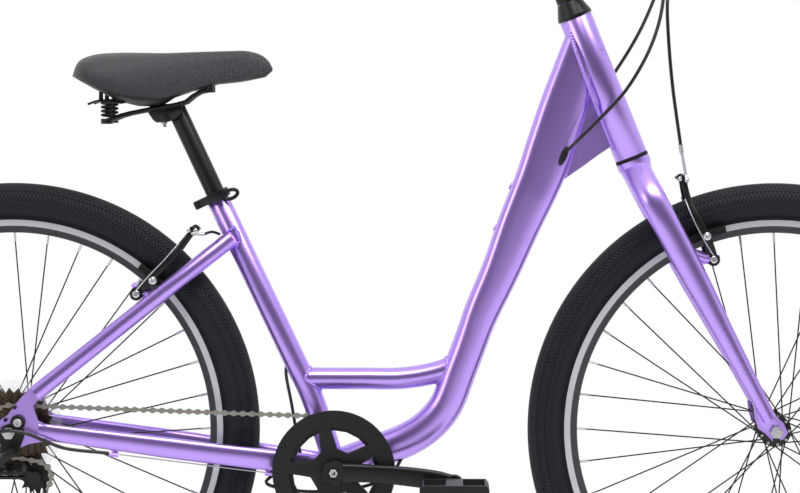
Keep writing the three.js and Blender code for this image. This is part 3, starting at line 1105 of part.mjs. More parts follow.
const linkPins = (pivot, r) => [-1, 1].map((side) => {
  const place = along(pivot, linkSide, (side * LINK_SPREAD) / 2);
  return bore(along(place, linkAxis, -LINK_WIDTH), along(place, linkAxis, LINK_WIDTH), r, 6);
});
// A box between two points, with a width and a height across its length
function beam(from, to, across, width, height) {
  const box = new THREE.BoxGeometry(width, height, from.distanceTo(to));
  const direction = to.clone().sub(from).normalize();
  const side = across.clone().addScaledVector(direction, -across.dot(direction)).normalize();
  const place = new THREE.Matrix4().makeBasis(side, direction.clone().cross(side), direction);
  box.applyMatrix4(place.setPosition(from.clone().lerp(to, 0.5)));
  return toSolid(box);
}
// A link has a cheek at each end of its pins, above and below the pivot blocks, and a web between the cheeks
function link(side) {
  const shift = (pivot, t) => along(along(pivot, linkSide, (side * LINK_SPREAD) / 2), linkAxis, t);
  const reach = linkLine.clone().normalize().multiplyScalar(LINK_SPREAD * 0.3);
  const cheek = LINK_WIDTH * 0.42 + GAP;
  const cheeks = [-1, 1].map((end) => {
    const level = end * (cheek + LINK_T / 2);
    return beam(
      shift(bodyPivot, level).sub(reach), shift(knucklePivot, level).add(reach), linkSide, LINK_SPREAD * 0.58, LINK_T);
  });
  const webEnd = (t) => along(shift(bodyPivot.clone().lerp(knucklePivot, t), 0), linkSide, side * LINK_SPREAD * 0.22);
  const web = beam(webEnd(0.4), webEnd(0.6), linkSide, LINK_SPREAD * 0.34, 2 * cheek + LINK_T);
  const pinEnds = [bodyPivot, knucklePivot].map((pivot) => bar(
    shift(pivot, -cheek - LINK_T / 2), shift(pivot, cheek + LINK_T / 2), LINK_PIN_R, 6));
  return join(cheeks, web, pinEnds);
}
function derailleurKnuckle() {
  const block = bar(
    along(knucklePivot, linkAxis, -LINK_WIDTH * 0.42), along(knucklePivot, linkAxis, LINK_WIDTH * 0.42), KNUCKLE_R * 0.8, 8);
  const drumY = CHAIN_LINE - CAGE_GAP - CAGE_T - GAP;
  const drumAt = guideCentre.clone().setY(drumY);
  const drum = bar(along(drumAt, Y, -KNUCKLE_R * 1.7), drumAt, KNUCKLE_R, 12);
  const core = bore(along(drumAt, Y, -KNUCKLE_R), along(drumAt, Y, OVER), LINK_PIN_R + GAP, 8);
  const web = beam(
    knucklePivot, along(drumAt, Y, -KNUCKLE_R * 0.9), linkAxis, LINK_WIDTH * 0.42, KNUCKLE_R * 0.7);
  return cut(join(block, drum, web), core, linkPins(knucklePivot, LINK_PIN_R + GAP));
}
const tensionCentre = chainPath.tension;
const cageShares = [
  [-0.14, -0.2], [-0.14, 0.2], [0.08, 0.48], [0.5, 0.36], [0.94, 0.48], [1.15, 0.2], [1.15, -0.2], [0.94, -0.48],
  [0.5, -0.36], [0.08, -0.48],
];
function cage() {
  const angle = chainPath.cageAngle;
  const [ux, uz] = [Math.cos(angle), Math.sin(angle)];
  const place = ([t, across]) => [
    guideCentre.x + ux * t * CAGE_LENGTH - uz * across * CAGE_WIDTH,
    guideCentre.z + uz * t * CAGE_LENGTH + ux * across * CAGE_WIDTH];
  const outline = cageShares.map(place);
  const slot = [[0.3, 0.2], [0.7, 0.2], [0.7, -0.2], [0.3, -0.2]].map(place);
  const plates = [
    plate(outline, CHAIN_LINE - CAGE_GAP - CAGE_T, CAGE_T, [slot]), plate(outline, CHAIN_LINE + CAGE_GAP, CAGE_T, [slot])];
  const bolts = [guideCentre, tensionCentre].map((centre) => bar(
    centre.clone().setY(CHAIN_LINE - CAGE_GAP - CAGE_T * (centre === guideCentre ? 0.5 : 2)),
    centre.clone().setY(CHAIN_LINE + CAGE_GAP + CAGE_T * 2), LINK_PIN_R, 6));
  const pivot = bar(
    guideCentre.clone().setY(CHAIN_LINE - CAGE_GAP - CAGE_T - KNUCKLE_R * 0.8),
    guideCentre.clone().setY(CHAIN_LINE - CAGE_GAP - CAGE_T / 2), LINK_PIN_R, 6);
  return join(plates, bolts, pivot);
}
function pulley(centre) {
  const level = (y) => centre.clone().setY(CHAIN_LINE + y);
  const wheel = sprocket(PULLEY_TEETH, centre, phaseAt(centre), CHAIN_LINE, PULLEY_T);
  const bush = bar(level(GAP - CAGE_GAP), level(CAGE_GAP - GAP), LINK_PIN_R * 2.4, 10);
  const hole = bore(level(-2 * CAGE_GAP), level(2 * CAGE_GAP), LINK_PIN_R + GAP, 8);
  return cut(join(wheel, bush), hole);
}

// Linear-pull brake arms, drawn for a boss with its outward direction, up direction and side
const ARM_LENGTH = 104;
const ARM_T = 10;
const ARM_WIDTH = 17;
const PAD_LENGTH = 58;
const PAD_HEIGHT = 11;
const PAD_T = 10;
const PAD_STEP = 24; // pad above the pivot
const PAD_CLEAR = 2;
function brakeArm({ boss, out, up, side, fromBoss }) {
  const start = along(boss, out, fromBoss + GAP);
  const level = (height, wide, y) => along(along(start, out, wide), up, height).setY(side * y);
  const pivotY = BOSS_SPACING / 2;
  const eye = bar(level(0, 0, pivotY), level(0, ARM_WIDTH, pivotY), ARM_T * 0.95, 8);
  const armShares = [[-0.03, 0.45, 0], [0.35, 0.52, 0.04], [0.6, 0.42, 0], [0.85, 0.36, -0.12], [1, 0.3, -0.16]];
  const arm = loft(armShares.map(([t, size, lean]) => ({
    centre: level(t * ARM_LENGTH, ARM_WIDTH * 0.55, pivotY + ARM_T * 0.5 + lean * BOSS_SPACING), u: Y, v: out,
    a: ARM_T * size, b: ARM_WIDTH * (0.5 - 0.18 * Math.max(t, 0)), power: 4, sides: 6,
  })));
  const face = RIM_WIDTH / 2 + PAD_CLEAR;
  const padAt = (y) => level(PAD_STEP, -fromBoss - GAP, y);
  const postAt = (y) => level(PAD_STEP, ARM_WIDTH * 0.3, y);
  const tangent = new THREE.Vector3().crossVectors(Y, up).normalize();
  const shoe = loft([-0.5, -0.42, 0.42, 0.5].map((t) => ({
    centre: along(padAt(face + PAD_T / 2), tangent, t * PAD_LENGTH),
    u: up, v: Y, a: (PAD_HEIGHT / 2) * (Math.abs(t) > 0.45 ? 0.6 : 1), b: PAD_T / 2, power: 4, sides: 6,
  })));
  const elbow = bar(padAt(face + PAD_T * 0.7), padAt(face + PAD_T * 1.5), PAD_HEIGHT * 0.4, 6);
  const carrier = bar(padAt(face + PAD_T * 1.3), postAt(pivotY + ARM_T * 0.3), PAD_HEIGHT * 0.36, 6);
  const boltHole = bore(along(start, out, -ARM_WIDTH), along(start, out, ARM_WIDTH * 1.5), BOSS_PIN_R + GAP, 6);
  return cut(join(eye, arm, shoe, elbow, carrier), boltHole);
}
const armTop = ({ boss, out, up, side, fromBoss }, height, wide, lean) => {
  const start = along(boss, out, fromBoss + GAP);
  return along(along(start, out, wide * ARM_WIDTH), up, height * ARM_LENGTH)
    .setY(side * (BOSS_SPACING / 2 + ARM_T * 0.5 + lean * BOSS_SPACING));
};
const frontArm = (side) => ({
  boss: frontBoss(side), ...frontBrake, side, fromBoss: BLADE_DEPTH * 0.3 + BOSS_R });
const rearArm = (side) => ({ boss: rearBoss(side), ...rearBrake, side, fromBoss: SEATSTAY_R + BOSS_R });

// Seatpost with its clamp head, saddle clamp plate, rails, base, cushion and springs
const SADDLE_LENGTH = 281;
const SADDLE_WIDTH = 205;
const SADDLE_FORE = 152.1; // nose ahead of the clamp
const RAIL_R = 3.5;
const RAIL_SPACING = 44;
const RAIL_SAG = 88; // rails under the top of the saddle, at the clamp
const CRADLE_LENGTH = 44;
const CRADLE_HEIGHT = 10;
const CRADLE_WIDTH = 54;
const CRADLE_BACK = 21; // behind the seatpost's axis
const CRADLE_RISE = 14; // rails above the end of the seatpost's axis
const SPRING_R = 8.5;
const SPRING_WIRE_R = 1.5;
const SPRING_TURNS = 3.5;
const cradleX = seatPoint(-CRADLE_BACK, SEAT_TUBE_LENGTH + SEATPOST_OUT).x;
const railZ = seatPoint(0, SEAT_TUBE_LENGTH + SEATPOST_OUT).z + CRADLE_RISE;
const saddleTop = railZ + 0.9025 * RAIL_SAG;
const saddleX = (share) => cradleX + SADDLE_FORE - share * SADDLE_LENGTH;
const railShares = [
  [0.31, 0.4, -0.63], [0.35, 0.42, -0.655], [0.38, 0.46, -0.68], [0.415, 0.5, -0.8], [0.46, 0.5, -0.855],
  [0.62, 0.5, -0.95], [0.74, 0.56, -1.03], [0.79, 0.74, -1.09], [0.82, 1, -1.13],
];
const railPoints = (side) => railShares.map(([t, out, sag]) => at(
  saddleX(t), side * out * RAIL_SPACING, saddleTop + sag * RAIL_SAG));
function seatpost() {
  const up = SEAT_TUBE_LENGTH + SEATPOST_OUT;
  const pipe = bar(seatPoint(0, up - SEATPOST_LENGTH), seatPoint(0, up - CRADLE_HEIGHT), SEATPOST_R, 14);
  const cap = bar(
    seatPoint(0, up - CRADLE_HEIGHT), seatPoint(-CRADLE_BACK * 0.15, up + CRADLE_HEIGHT * 0.2), SEATPOST_R, 14,
    SEATPOST_R * 0.8);
  const belowRails = (heights) => at(cradleX, 0, railZ - heights * CRADLE_HEIGHT);
  const neck = bar(seatPoint(0, up - CRADLE_HEIGHT * 2.4), belowRails(0.9), SEATPOST_R * 0.8, 8);
  const cradle = plate([[-0.5, 0.5], [-0.3, 1.2], [0.3, 1.2], [0.5, 0.5], [0.5, 0], [-0.5, 0]].map(
    ([fore, down]) => [cradleX + fore * CRADLE_LENGTH, railZ - down * CRADLE_HEIGHT]), -CRADLE_WIDTH / 2, CRADLE_WIDTH);
  const bolt = bar(belowRails(2.6), belowRails(-0.7), CLAMP_PIN_R, 8);
  const head = bar(belowRails(2.8), belowRails(2), CLAMP_PIN_R * 2, 6);
  return cut(join(pipe, cap, neck, cradle, bolt, head), rails(GAP));
}
const rails = (grow = 0) => [RIGHT, LEFT].map((side) => tube(railPoints(side), RAIL_R + grow, { steps: 12, sides: 6 }));
function saddleClamp() {
  const [low, high] = [railZ + GAP, railZ + CRADLE_HEIGHT * 0.6];
  const topPlate = plate([[-0.5, low], [0.5, low], [0.45, high], [-0.45, high]].map(
    ([fore, z]) => [cradleX + fore * CRADLE_LENGTH, z]), -CRADLE_WIDTH / 2, CRADLE_WIDTH);
  const hole = bore(at(cradleX, 0, railZ - CRADLE_HEIGHT), at(cradleX, 0, railZ + 2 * CRADLE_HEIGHT), CLAMP_PIN_R + GAP, 8);
  return cut(topPlate, hole, rails(GAP));
}
function saddleRails() {
  const [right, left] = [RIGHT, LEFT].map((side) => railPoints(side).at(-1));
  const seats = [right, left].map((end) => bar(
    along(end, Z, -RAIL_R), along(end, Z, RAIL_R + GAP), SPRING_R, 8));
  return join(rails(), bar(right, left, RAIL_R, 6), seats);
}
// Half width and the heights of the crown, the seam and the base's lower edge, as shares, from the nose to the back
const SADDLE_DEPTH = 80;
const saddleWidthShares = [
  [0, 0.09], [0.02, 0.14], [0.06, 0.17], [0.14, 0.195], [0.27, 0.22], [0.4, 0.28], [0.5, 0.4], [0.6, 0.59], [0.7, 0.78],
  [0.8, 0.93], [0.88, 1], [0.94, 0.93], [0.975, 0.78], [1, 0.55],
];
const saddleTopShares = [
  [0, -0.3], [0.015, -0.2], [0.04, -0.11], [0.08, -0.04], [0.14, 0], [0.35, -0.02], [0.55, -0.045], [0.75, -0.035],
  [0.86, -0.05], [0.93, -0.1], [0.98, -0.24], [1, -0.36],
];
const saddleSeamShares = [
  [0, -0.36], [0.03, -0.45], [0.15, -0.53], [0.3, -0.58], [0.43, -0.72], [0.55, -0.846], [0.66, -0.82], [0.75, -0.77],
  [0.885, -0.616], [1, -0.46],
];
const saddleLowerShares = [
  [0, -0.4], [0.04, -0.49], [0.15, -0.566], [0.27, -0.605], [0.37, -0.695], [0.43, -0.77], [0.51, -0.877], [0.6, -0.98],
  [0.67, -0.99], [0.745, -0.9], [0.85, -0.75], [0.974, -0.605], [1, -0.52],
];
const saddleStations = [0, 0.02, 0.06, 0.14, 0.27, 0.43, 0.55, 0.66, 0.78, 0.88, 0.95, 1];
const padSectionShares = [
  [0, 0], [0.28, 0.005], [0.52, 0.04], [0.72, 0.12], [0.88, 0.28], [0.97, 0.5], [1, 0.72], [0.975, 0.9], [0.93, 1], [0.4, 1],
];
const saddleHeight = (shares, t) => saddleTop + SADDLE_DEPTH * blend(shares, t);
const saddleHalf = (t) => (SADDLE_WIDTH / 2) * blend(saddleWidthShares, t);
function saddlePad() {
  return skin(saddleStations.map((t) => {
    const [top, seam] = [saddleHeight(saddleTopShares, t), saddleHeight(saddleSeamShares, t)];
    const half = padSectionShares.map(([y, drop]) => at(saddleX(t), -y * saddleHalf(t), top - drop * (top - seam)));
    return [...half, ...mirrored(half).slice(1).reverse()];
  }));
}
const BASE_INSET = 0.93;
function saddleBase() {
  const shell = skin(saddleStations.slice(1, -1).map((t) => {
    const seam = saddleHeight(saddleSeamShares, t) - GAP;
    const lower = Math.min(saddleHeight(saddleLowerShares, t), seam - RAIL_R);
    const half = [[0, seam], [BASE_INSET, seam], [BASE_INSET * 0.97, seam - RAIL_R * 0.6], [0.8, lower], [0, lower]].map(
      ([y, z]) => at(saddleX(t), -y * saddleHalf(t), z));
    return [...half, ...mirrored(half).slice(1, -1).reverse()];
  }));
  const [front, back] = [saddleX(0.28), saddleX(0.345)];
  const blockTop = saddleHeight(saddleLowerShares, 0.345) + GAP;
  const block = plate([
    [back, blockTop], [back, blockTop - RAIL_R * 5], [front, blockTop - RAIL_R * 4], [front, blockTop],
  ], -RAIL_SPACING * 0.56, RAIL_SPACING * 1.12);
  const springCaps = [RIGHT, LEFT].map((side) => {
    const top = railPoints(side).at(-1).setZ(springTop() + GAP);
    return bar(top, top.clone().setZ(saddleHeight(saddleSeamShares, railShares.at(-1)[0]) - RAIL_R), SPRING_R * 1.2, 8);
  });
  const roomTop = railZ + CRADLE_HEIGHT * 0.75 + GAP;
  const room = new THREE.BoxGeometry(CRADLE_LENGTH * 1.3, CRADLE_WIDTH * 1.15, 3 * CRADLE_HEIGHT);
  room.translate(cradleX, 0, roomTop - 1.5 * CRADLE_HEIGHT);
  return cut(join(shell, block, springCaps), toSolid(room), rails(GAP));
}
const springBottom = () => railPoints(RIGHT).at(-1).z + RAIL_R + 2 * GAP;
const springTop = () => saddleHeight(saddleLowerShares, railShares.at(-1)[0]) - RAIL_R * 2.5;
function saddleSpring(side) {
  const middle = railPoints(side).at(-1);
  const [low, high] = [springBottom() + SPRING_WIRE_R, springTop() - SPRING_WIRE_R];
  const steps = Math.round(SPRING_TURNS * 8);
  const points = Array.from({ length: steps + 1 }, (_, i) => {
    const angle = (i / 8) * 2 * Math.PI;
    const r = SPRING_R - SPRING_WIRE_R;
    return at(middle.x + r * Math.cos(angle), middle.y + r * Math.sin(angle), low + ((high - low) * i) / steps);
  });
  if (side === RIGHT) reportSelfGap("saddle spring", points, SPRING_WIRE_R, 6);
  return tube(points, SPRING_WIRE_R, { sides: 5, steps });
}
// Prints the least gap between turns of a wound tube, measured on its centre line
function reportSelfGap(name, points, r, skip) {
  let least = Infinity;
  points.forEach((p, i) => points.slice(i + skip).forEach((q) => {
    least = Math.min(least, p.distanceTo(q) - 2 * r);
  }));
  console.log(`${name}: least gap between its turns ${least.toFixed(2)} mm`);
}

// Cables: from the levers to the brakes and into the down tube's ports
const leverExit = (side) => {
  const pivot = leverPivot();
  const place = along(pivot, barTangent(BODY_AT), -BODY_WIDTH * 1.4);
  return side === LEFT ? place : at(place.x, -place.y, place.z);
};
const shifterExit = () => {
  const place = along(shifterCentre(), shifterOut, SHIFTER_R * 1.8);
  return at(place.x, -place.y, place.z);
};
const onSide = (side, direction) => at(direction.x, side * direction.y, direction.z);
const leadIn = (exit, side, direction) => [GAP, CABLE_R * 5.6, CABLE_R * 13.6].map(
  (distance) => along(exit, onSide(side, direction), distance));
const leverOut = barTangent(BODY_AT).negate();
const portEntry = (side) => [-0.5, -2.25].map((d) => along(portPoint(side), portWay(side, 0.35, 0.9, 0.35), d * PORT_R));
const portApproach = (side) => [7.5, 3].map((d) => along(portPoint(side), portWay(side, 0.45, 0.7, 0.5), d * PORT_R));
const rearBrakeRoute = () => [
  ...leadIn(leverExit(RIGHT), RIGHT, leverOut), at(392, -70, 1062), at(383, 0, 1000), at(352, 36, 916), at(313, 44, 850),
  at(272, 42, 795), ...portApproach(LEFT), ...portEntry(LEFT),
];
const shiftRoute = () => [
  ...leadIn(shifterExit(), RIGHT, shifterOut), at(370, -105, 1010), at(376, -62, 950), at(362, -42, 892), at(328, -38, 830),
  at(290, -42, 788), ...portApproach(RIGHT), ...portEntry(RIGHT),
];
const noodleTop = () => armTop(frontArm(RIGHT), 1.16, 0.3, -0.16);
const frontBrakeRoute = () => [
  ...leadIn(leverExit(LEFT), LEFT, leverOut), at(412, 60, 1060), at(404, 0, 985), at(400, -34, 910), at(403, -46, 840),
  at(406, -44, 790), along(noodleTop(), Z, 22), noodleTop(),
];
const NOODLE_R = 2.3;
// A noodle turns the cable from its start round to the sleeve on the right arm, and the bare wire goes on to the left arm
function noodle(armOf, start) {
  const [sleeve, anchor] = [armTop(armOf(RIGHT), 1.06, 0.5, -0.2), armTop(armOf(LEFT), 1.06, 0.5, -0.2)];
  const turn = sleeve.clone().setY(sleeve.y - ARM_T * 0.9);
  const bend = [start, start.clone().lerp(turn, 0.6), turn, sleeve];
  return join(
    tube(bend, NOODLE_R, { steps: 8, sides: 6 }),
    bar(sleeve, sleeve.clone().setY(sleeve.y * 0.3), NOODLE_R * 1.7, 8, NOODLE_R),
    bar(sleeve, anchor, WIRE_R, 6));
}
function frontBrakeCable() {
  return join(tube(frontBrakeRoute(), CABLE_R, { steps: 20, sides: 5 }), noodle(frontArm, noodleTop()));
}
function rearBrakeCableRear() {
  const sleeve = armTop(rearArm(RIGHT), 1.06, 0.5, -0.2);
  const from = seatPoint(-SEAT_TUBE_R - CABLE_R - GAP, SEATSTAY_JOIN + SEATSTAY_R * 1.6, -SEAT_TUBE_R * 0.35);
  const start = from.clone().lerp(sleeve, 0.55).setY(sleeve.y * 1.05);
  const middle = from.clone().lerp(start, 0.5).setZ(start.z + CABLE_R);
  return join(tube([from, middle, start], CABLE_R * 0.8, { steps: 5, sides: 6 }), noodle(rearArm, start));
}

// The finished pieces, each with its colour, roughness and metalness
const finishes = {
  paint: [0x8a62c4, 0.32, 0.45], black: [0x141416, 0.42, 0.1], plastic: [0x1a1b1d, 0.6, 0], rubber: [0x26282c, 0.85, 0],
  vinyl: [0x2a2b2e, 0.55, 0], steel: [0x8d8f92, 0.35, 0.9], silver: [0xc9cbce, 0.3, 0.9], rimBlack: [0x2b2c2f, 0.35, 0.6],
  brown: [0x4a4238, 0.45, 0.8], clear: [0xe4e8ea, 0.2, 0], chain: [0x77736c, 0.42, 0.85], cable: [0x0e0e10, 0.5, 0],
};
const bike = new THREE.Group();
function add(name, solid, finish, parent = bike) {
  const [color, roughness, metalness] = finishes[finish];
  const mesh = new THREE.Mesh(toGeometry(solid), new THREE.MeshStandardMaterial({ color, roughness, metalness }));
  mesh.name = name;
  parent.add(mesh);
}
function addPair(name, solid, finish) {
  add(`${name}_left`, solid, finish);
  add(`${name}_right`, mirror(solid), finish);
}

add("head_and_down_tube", headAndDownTube(), "paint");
add("seat_tube", seatTube(), "paint");
for (const [name, side] of [["right", RIGHT], ["left", LEFT]]) {
  add(`chainstay_${name}`, chainstay(side), "paint");
  add(`seatstay_${name}`, seatstay(side), "paint");
  add(`saddle_spring_${name}`, saddleSpring(side), "steel");
  add(`brake_arm_front_${name}`, brakeArm(frontArm(side)), "black");
  add(`brake_arm_rear_${name}`, brakeArm(rearArm(side)), "black");
}
add("seat_clamp", seatClamp(), "black");
add("seat_clamp_lever", seatClampLever(), "black");
add("seatpost", seatpost(), "black");
add("saddle_clamp", saddleClamp(), "black");
add("saddle_rails", saddleRails(), "black");
add("saddle_base", saddleBase(), "plastic");
add("saddle_pad", saddlePad(), "vinyl");
add("fork", fork(), "paint");
add("headset_top_cover", headsetTopCover(), "black");
add("stem", stem(), "black");
add("handlebar", handlebar(), "black");
addPair("grip", grip(), "rubber");
add("brake_body_left", brakeBody(false), "black");
add("brake_body_right", mirror(brakeBody(true)), "black");
addPair("brake_lever", brakeLever(), "black");
add("shift_lever", mirror(shiftLever()), "plastic");
add("front_brake_cable", frontBrakeCable(), "cable");
add("rear_brake_cable", tube(rearBrakeRoute(), CABLE_R, { steps: 20, sides: 5 }), "cable");
add("shift_cable", tube(shiftRoute(), CABLE_R, { steps: 20, sides: 5 }), "cable");
add("rear_brake_cable_rear", rearBrakeCableRear(), "cable");
add("shift_cable_rear", shiftCableRear(), "cable");

const wheels = [
  ["front", frontAxle, FRONT_HUB_WIDTH, FRONT_FLANGE_Y, FRONT_FLANGE_Y, FORK_END_T, 0],
  ["rear", rearAxle, REAR_HUB_WIDTH, REAR_FLANGE_RIGHT_Y, REAR_FLANGE_LEFT_Y, DROPOUT_T, CLAW_T + GAP],
];
for (const [name, centre, width, right, left, dropoutWidth, extra] of wheels) {
  const wheel = new THREE.Group();
  wheel.position.copy(centre);
  bike.add(wheel);
  const middle = at(0, 0, 0);
  add(`${name}_tyre`, tyre(middle), "rubber", wheel);
  add(`${name}_rim`, rim(middle), "rimBlack", wheel);
  add(`${name}_hub`, hub(middle, width, right, left), "black", wheel);
  add(`${name}_axle`, axle(middle, width, dropoutWidth, extra), "steel", wheel);
}
add("spoke_protector", spokeProtector(), "clear");
add("freewheel", freewheel(), "brown");
add("chainring", chainring(), "black");
add("chain_guard", chainGuard(), "plastic");
add("crank_spindle", crankSpindle(), "steel");
add("crank_right", crank(RIGHT, CRANK_RIGHT_Y, crankFore), "black");
add("crank_left", crank(LEFT, CRANK_LEFT_Y, crankFore.clone().negate()), "black");
add("pedal_right", pedal(RIGHT, CRANK_RIGHT_Y, crankFore), "plastic");
add("pedal_left", pedal(LEFT, CRANK_LEFT_Y, crankFore.clone().negate()), "plastic");
add("chain", chain(), "chain");
add("derailleur_body", derailleurBody(), "black");
add("derailleur_link_outer", link(-1), "black");
add("derailleur_link_inner", link(1), "black");
add("derailleur_knuckle", derailleurKnuckle(), "black");
add("derailleur_cage", cage(), "black");
add("guide_pulley", pulley(guideCentre), "plastic");
add("tension_pulley", pulley(tensionCentre), "plastic");

export default bike;
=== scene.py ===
"""The looks of a step-through city bike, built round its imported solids.

The scene has +X forwards, +Y left and +Z up. Points and lines are in metres. Radii, profiles, half depths and
other sizes that a function takes are in millimetres.
"""

import json
import logging
import math
from dataclasses import dataclass, field
from enum import Enum

import bmesh
import bpy
import numpy as np
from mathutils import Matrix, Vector

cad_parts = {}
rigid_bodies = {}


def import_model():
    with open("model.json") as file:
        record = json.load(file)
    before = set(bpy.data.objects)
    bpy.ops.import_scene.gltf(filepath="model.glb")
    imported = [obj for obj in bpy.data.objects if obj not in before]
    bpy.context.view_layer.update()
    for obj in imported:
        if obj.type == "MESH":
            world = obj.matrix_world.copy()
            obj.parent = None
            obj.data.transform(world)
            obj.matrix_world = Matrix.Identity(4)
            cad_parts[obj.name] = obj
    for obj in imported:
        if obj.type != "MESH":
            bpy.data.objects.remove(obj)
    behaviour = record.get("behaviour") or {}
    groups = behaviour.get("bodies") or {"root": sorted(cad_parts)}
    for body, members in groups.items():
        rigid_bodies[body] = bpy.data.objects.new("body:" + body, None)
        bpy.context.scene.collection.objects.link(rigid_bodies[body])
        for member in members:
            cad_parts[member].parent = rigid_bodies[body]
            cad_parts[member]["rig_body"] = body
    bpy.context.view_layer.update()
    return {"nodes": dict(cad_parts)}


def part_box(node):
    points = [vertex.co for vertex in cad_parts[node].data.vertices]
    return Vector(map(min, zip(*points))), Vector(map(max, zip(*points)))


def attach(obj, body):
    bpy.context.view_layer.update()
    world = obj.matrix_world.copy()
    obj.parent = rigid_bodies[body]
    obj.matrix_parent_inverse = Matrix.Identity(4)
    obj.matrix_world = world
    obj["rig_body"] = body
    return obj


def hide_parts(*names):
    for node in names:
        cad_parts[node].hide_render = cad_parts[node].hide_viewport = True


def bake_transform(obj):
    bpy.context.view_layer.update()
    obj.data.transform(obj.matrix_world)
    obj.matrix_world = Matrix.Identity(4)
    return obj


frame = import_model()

log = logging.getLogger("bike")
MM = 0.001
Table = list[tuple[float, float]]
Size = float | np.ndarray
Spot = tuple[float, float, float]
X, Y, Z = np.eye(3)
WELD_DISTANCE = 2e-6
THIN_EDGE = 1e-7
ALONG = 0.9


class Side(Enum):
    """A side of the bike, as the sign of its Y coordinate."""

    RIGHT = -1
    LEFT = 1


def unit(v: np.ndarray) -> np.ndarray:
    """Vectors divided by their own lengths.

    Args:
        v: One vector or an array of them.
    Returns:
        The same array with every vector of length one.
    """
    return v / np.maximum(np.linalg.norm(v, axis=-1, keepdims=True), 1e-12)


def blend(table: Table, t: np.ndarray) -> np.ndarray:
    """Reads a table straight between its rows.

    Args:
        table: Rows of share and value, in rising order of share.
        t: Shares to read at.
    Returns:
        The values at those shares.
    """
    rows = np.array(table, float)
    return np.interp(t, rows[:, 0], rows[:, 1])


@dataclass
class Curve:
    """A centripetal Catmull-Rom curve: cubics between the points, with knots at the chords' square roots."""

    points: np.ndarray

    def at(self, t: np.ndarray) -> np.ndarray:
        """Points at shares of the curve, where each span between two points has an equal share.

        Args:
            t: Shares from 0 to 1.
        Returns:
            One point for each share.
        """
        p = np.asarray(self.points, float)
        pad = np.vstack([2 * p[0] - p[1], p, 2 * p[-1] - p[-2]])
        at = np.clip(np.asarray(t, float), 0, 1) * (len(p) - 1)
        i = np.minimum(at.astype(int), len(p) - 2)
        w = (at - i)[..., None]
        a, b, c, d = pad[i], pad[i + 1], pad[i + 2], pad[i + 3]
        k0, k1, k2 = (np.maximum(np.linalg.norm(q - r, axis=-1, keepdims=True), 1e-9) ** 0.5
                      for q, r in ((a, b), (b, c), (c, d)))
        m1 = ((b - a) / k0 - (c - a) / (k0 + k1) + (c - b) / k1) * k1
        m2 = ((c - b) / k1 - (d - b) / (k1 + k2) + (d - c) / k2) * k1
        return b + m1 * w + (-3 * b + 3 * c - 2 * m1 - m2) * w**2 + (2 * b - 2 * c + m1 + m2) * w**3

    def spot(self, t: float) -> np.ndarray:
        """The point at one share."""
        return self.at(np.array([t]))[0]

    def tangent(self, t: np.ndarray) -> np.ndarray:
        """Unit tangents at shares of the curve, from points a little to each side."""
        return unit(self.at(np.minimum(t + 1e-4, 1)) - self.at(np.maximum(t - 1e-4, 0)))

    def even(self, count: int) -> np.ndarray:
        """Shares at which points lie an equal length apart.

        Args:
            count: How many.
        Returns:
            The shares, from 0 to 1.
        """
        fine = np.linspace(0, 1, 1200)
        length = run_along(self.at(fine))
        return np.interp(np.linspace(0, length[-1], count), length, fine)


def run_along(line: np.ndarray) -> np.ndarray:
    """The length along a line up to each of its points."""
    return np.r_[0, np.cumsum(np.linalg.norm(np.diff(line, axis=0), axis=1))]


def angles(sides: int) -> np.ndarray:
    """Angles an equal step apart, once round."""
    return np.linspace(0, 2 * np.pi, sides, endpoint=False)


def sections(curve: Curve, t: np.ndarray, a: Size, b: Size, power: Size, sides: int) -> np.ndarray:
    """Rings of a tube: each point is centre + u a |cos|^(2/p) + v b |sin|^(2/p), u up and v across the line.

    Args:
        curve: The centre line.
        t: Shares of the line, one for each ring.
        a: Half depths in side view, in millimetres.
        b: Half widths, in millimetres.
        power: 2 for an ellipse, more for squarer corners.
        sides: Points in a ring.
    Returns:
        A grid of points, rings by sides.
    """
    tangent = curve.tangent(t)
    u = unit(np.cross(Y, tangent))
    v = unit(np.cross(tangent, u))
    angle = angles(sides)[None]
    power = np.broadcast_to(power, t.shape)[:, None]
    c, s = np.cos(angle), np.sin(angle)
    x = np.sign(c) * np.abs(c) ** (2 / power) * MM * np.broadcast_to(a, t.shape)[:, None]
    y = np.sign(s) * np.abs(s) ** (2 / power) * MM * np.broadcast_to(b, t.shape)[:, None]
    return curve.at(t)[:, None] + x[..., None] * u[:, None] + y[..., None] * v[:, None]


def pipe(points: np.ndarray, radius: Size, sides: int = 14, count: int = 0) -> np.ndarray:
    """A round tube whose rings are carried along a line without twisting: each ring's side is the last one's,
    less its part along the new tangent.

    Args:
        points: The line's points.
        radius: One radius in millimetres, or one for each ring.
        sides: Points in a ring.
        count: Rings; 0 keeps the points as they are.
    Returns:
        A grid of points, rings by sides.
    """
    line = np.asarray(points, float)
    if count:
        curve = Curve(line)
        line = curve.at(curve.even(count))
    tangent = unit(np.gradient(line, axis=0))
    side = np.zeros_like(line)
    last = unit(np.cross(tangent[0], Y if abs(tangent[0][1]) < ALONG else Z))
    for i, way in enumerate(tangent):
        last = unit(last - way * (last @ way))
        side[i] = last
    other = np.cross(tangent, side)
    angle = angles(sides)
    r = MM * np.broadcast_to(radius, len(line))[:, None, None]
    turn = np.cos(angle)[None, :, None] * side[:, None] + np.sin(angle)[None, :, None] * other[:, None]
    return line[:, None] + r * turn


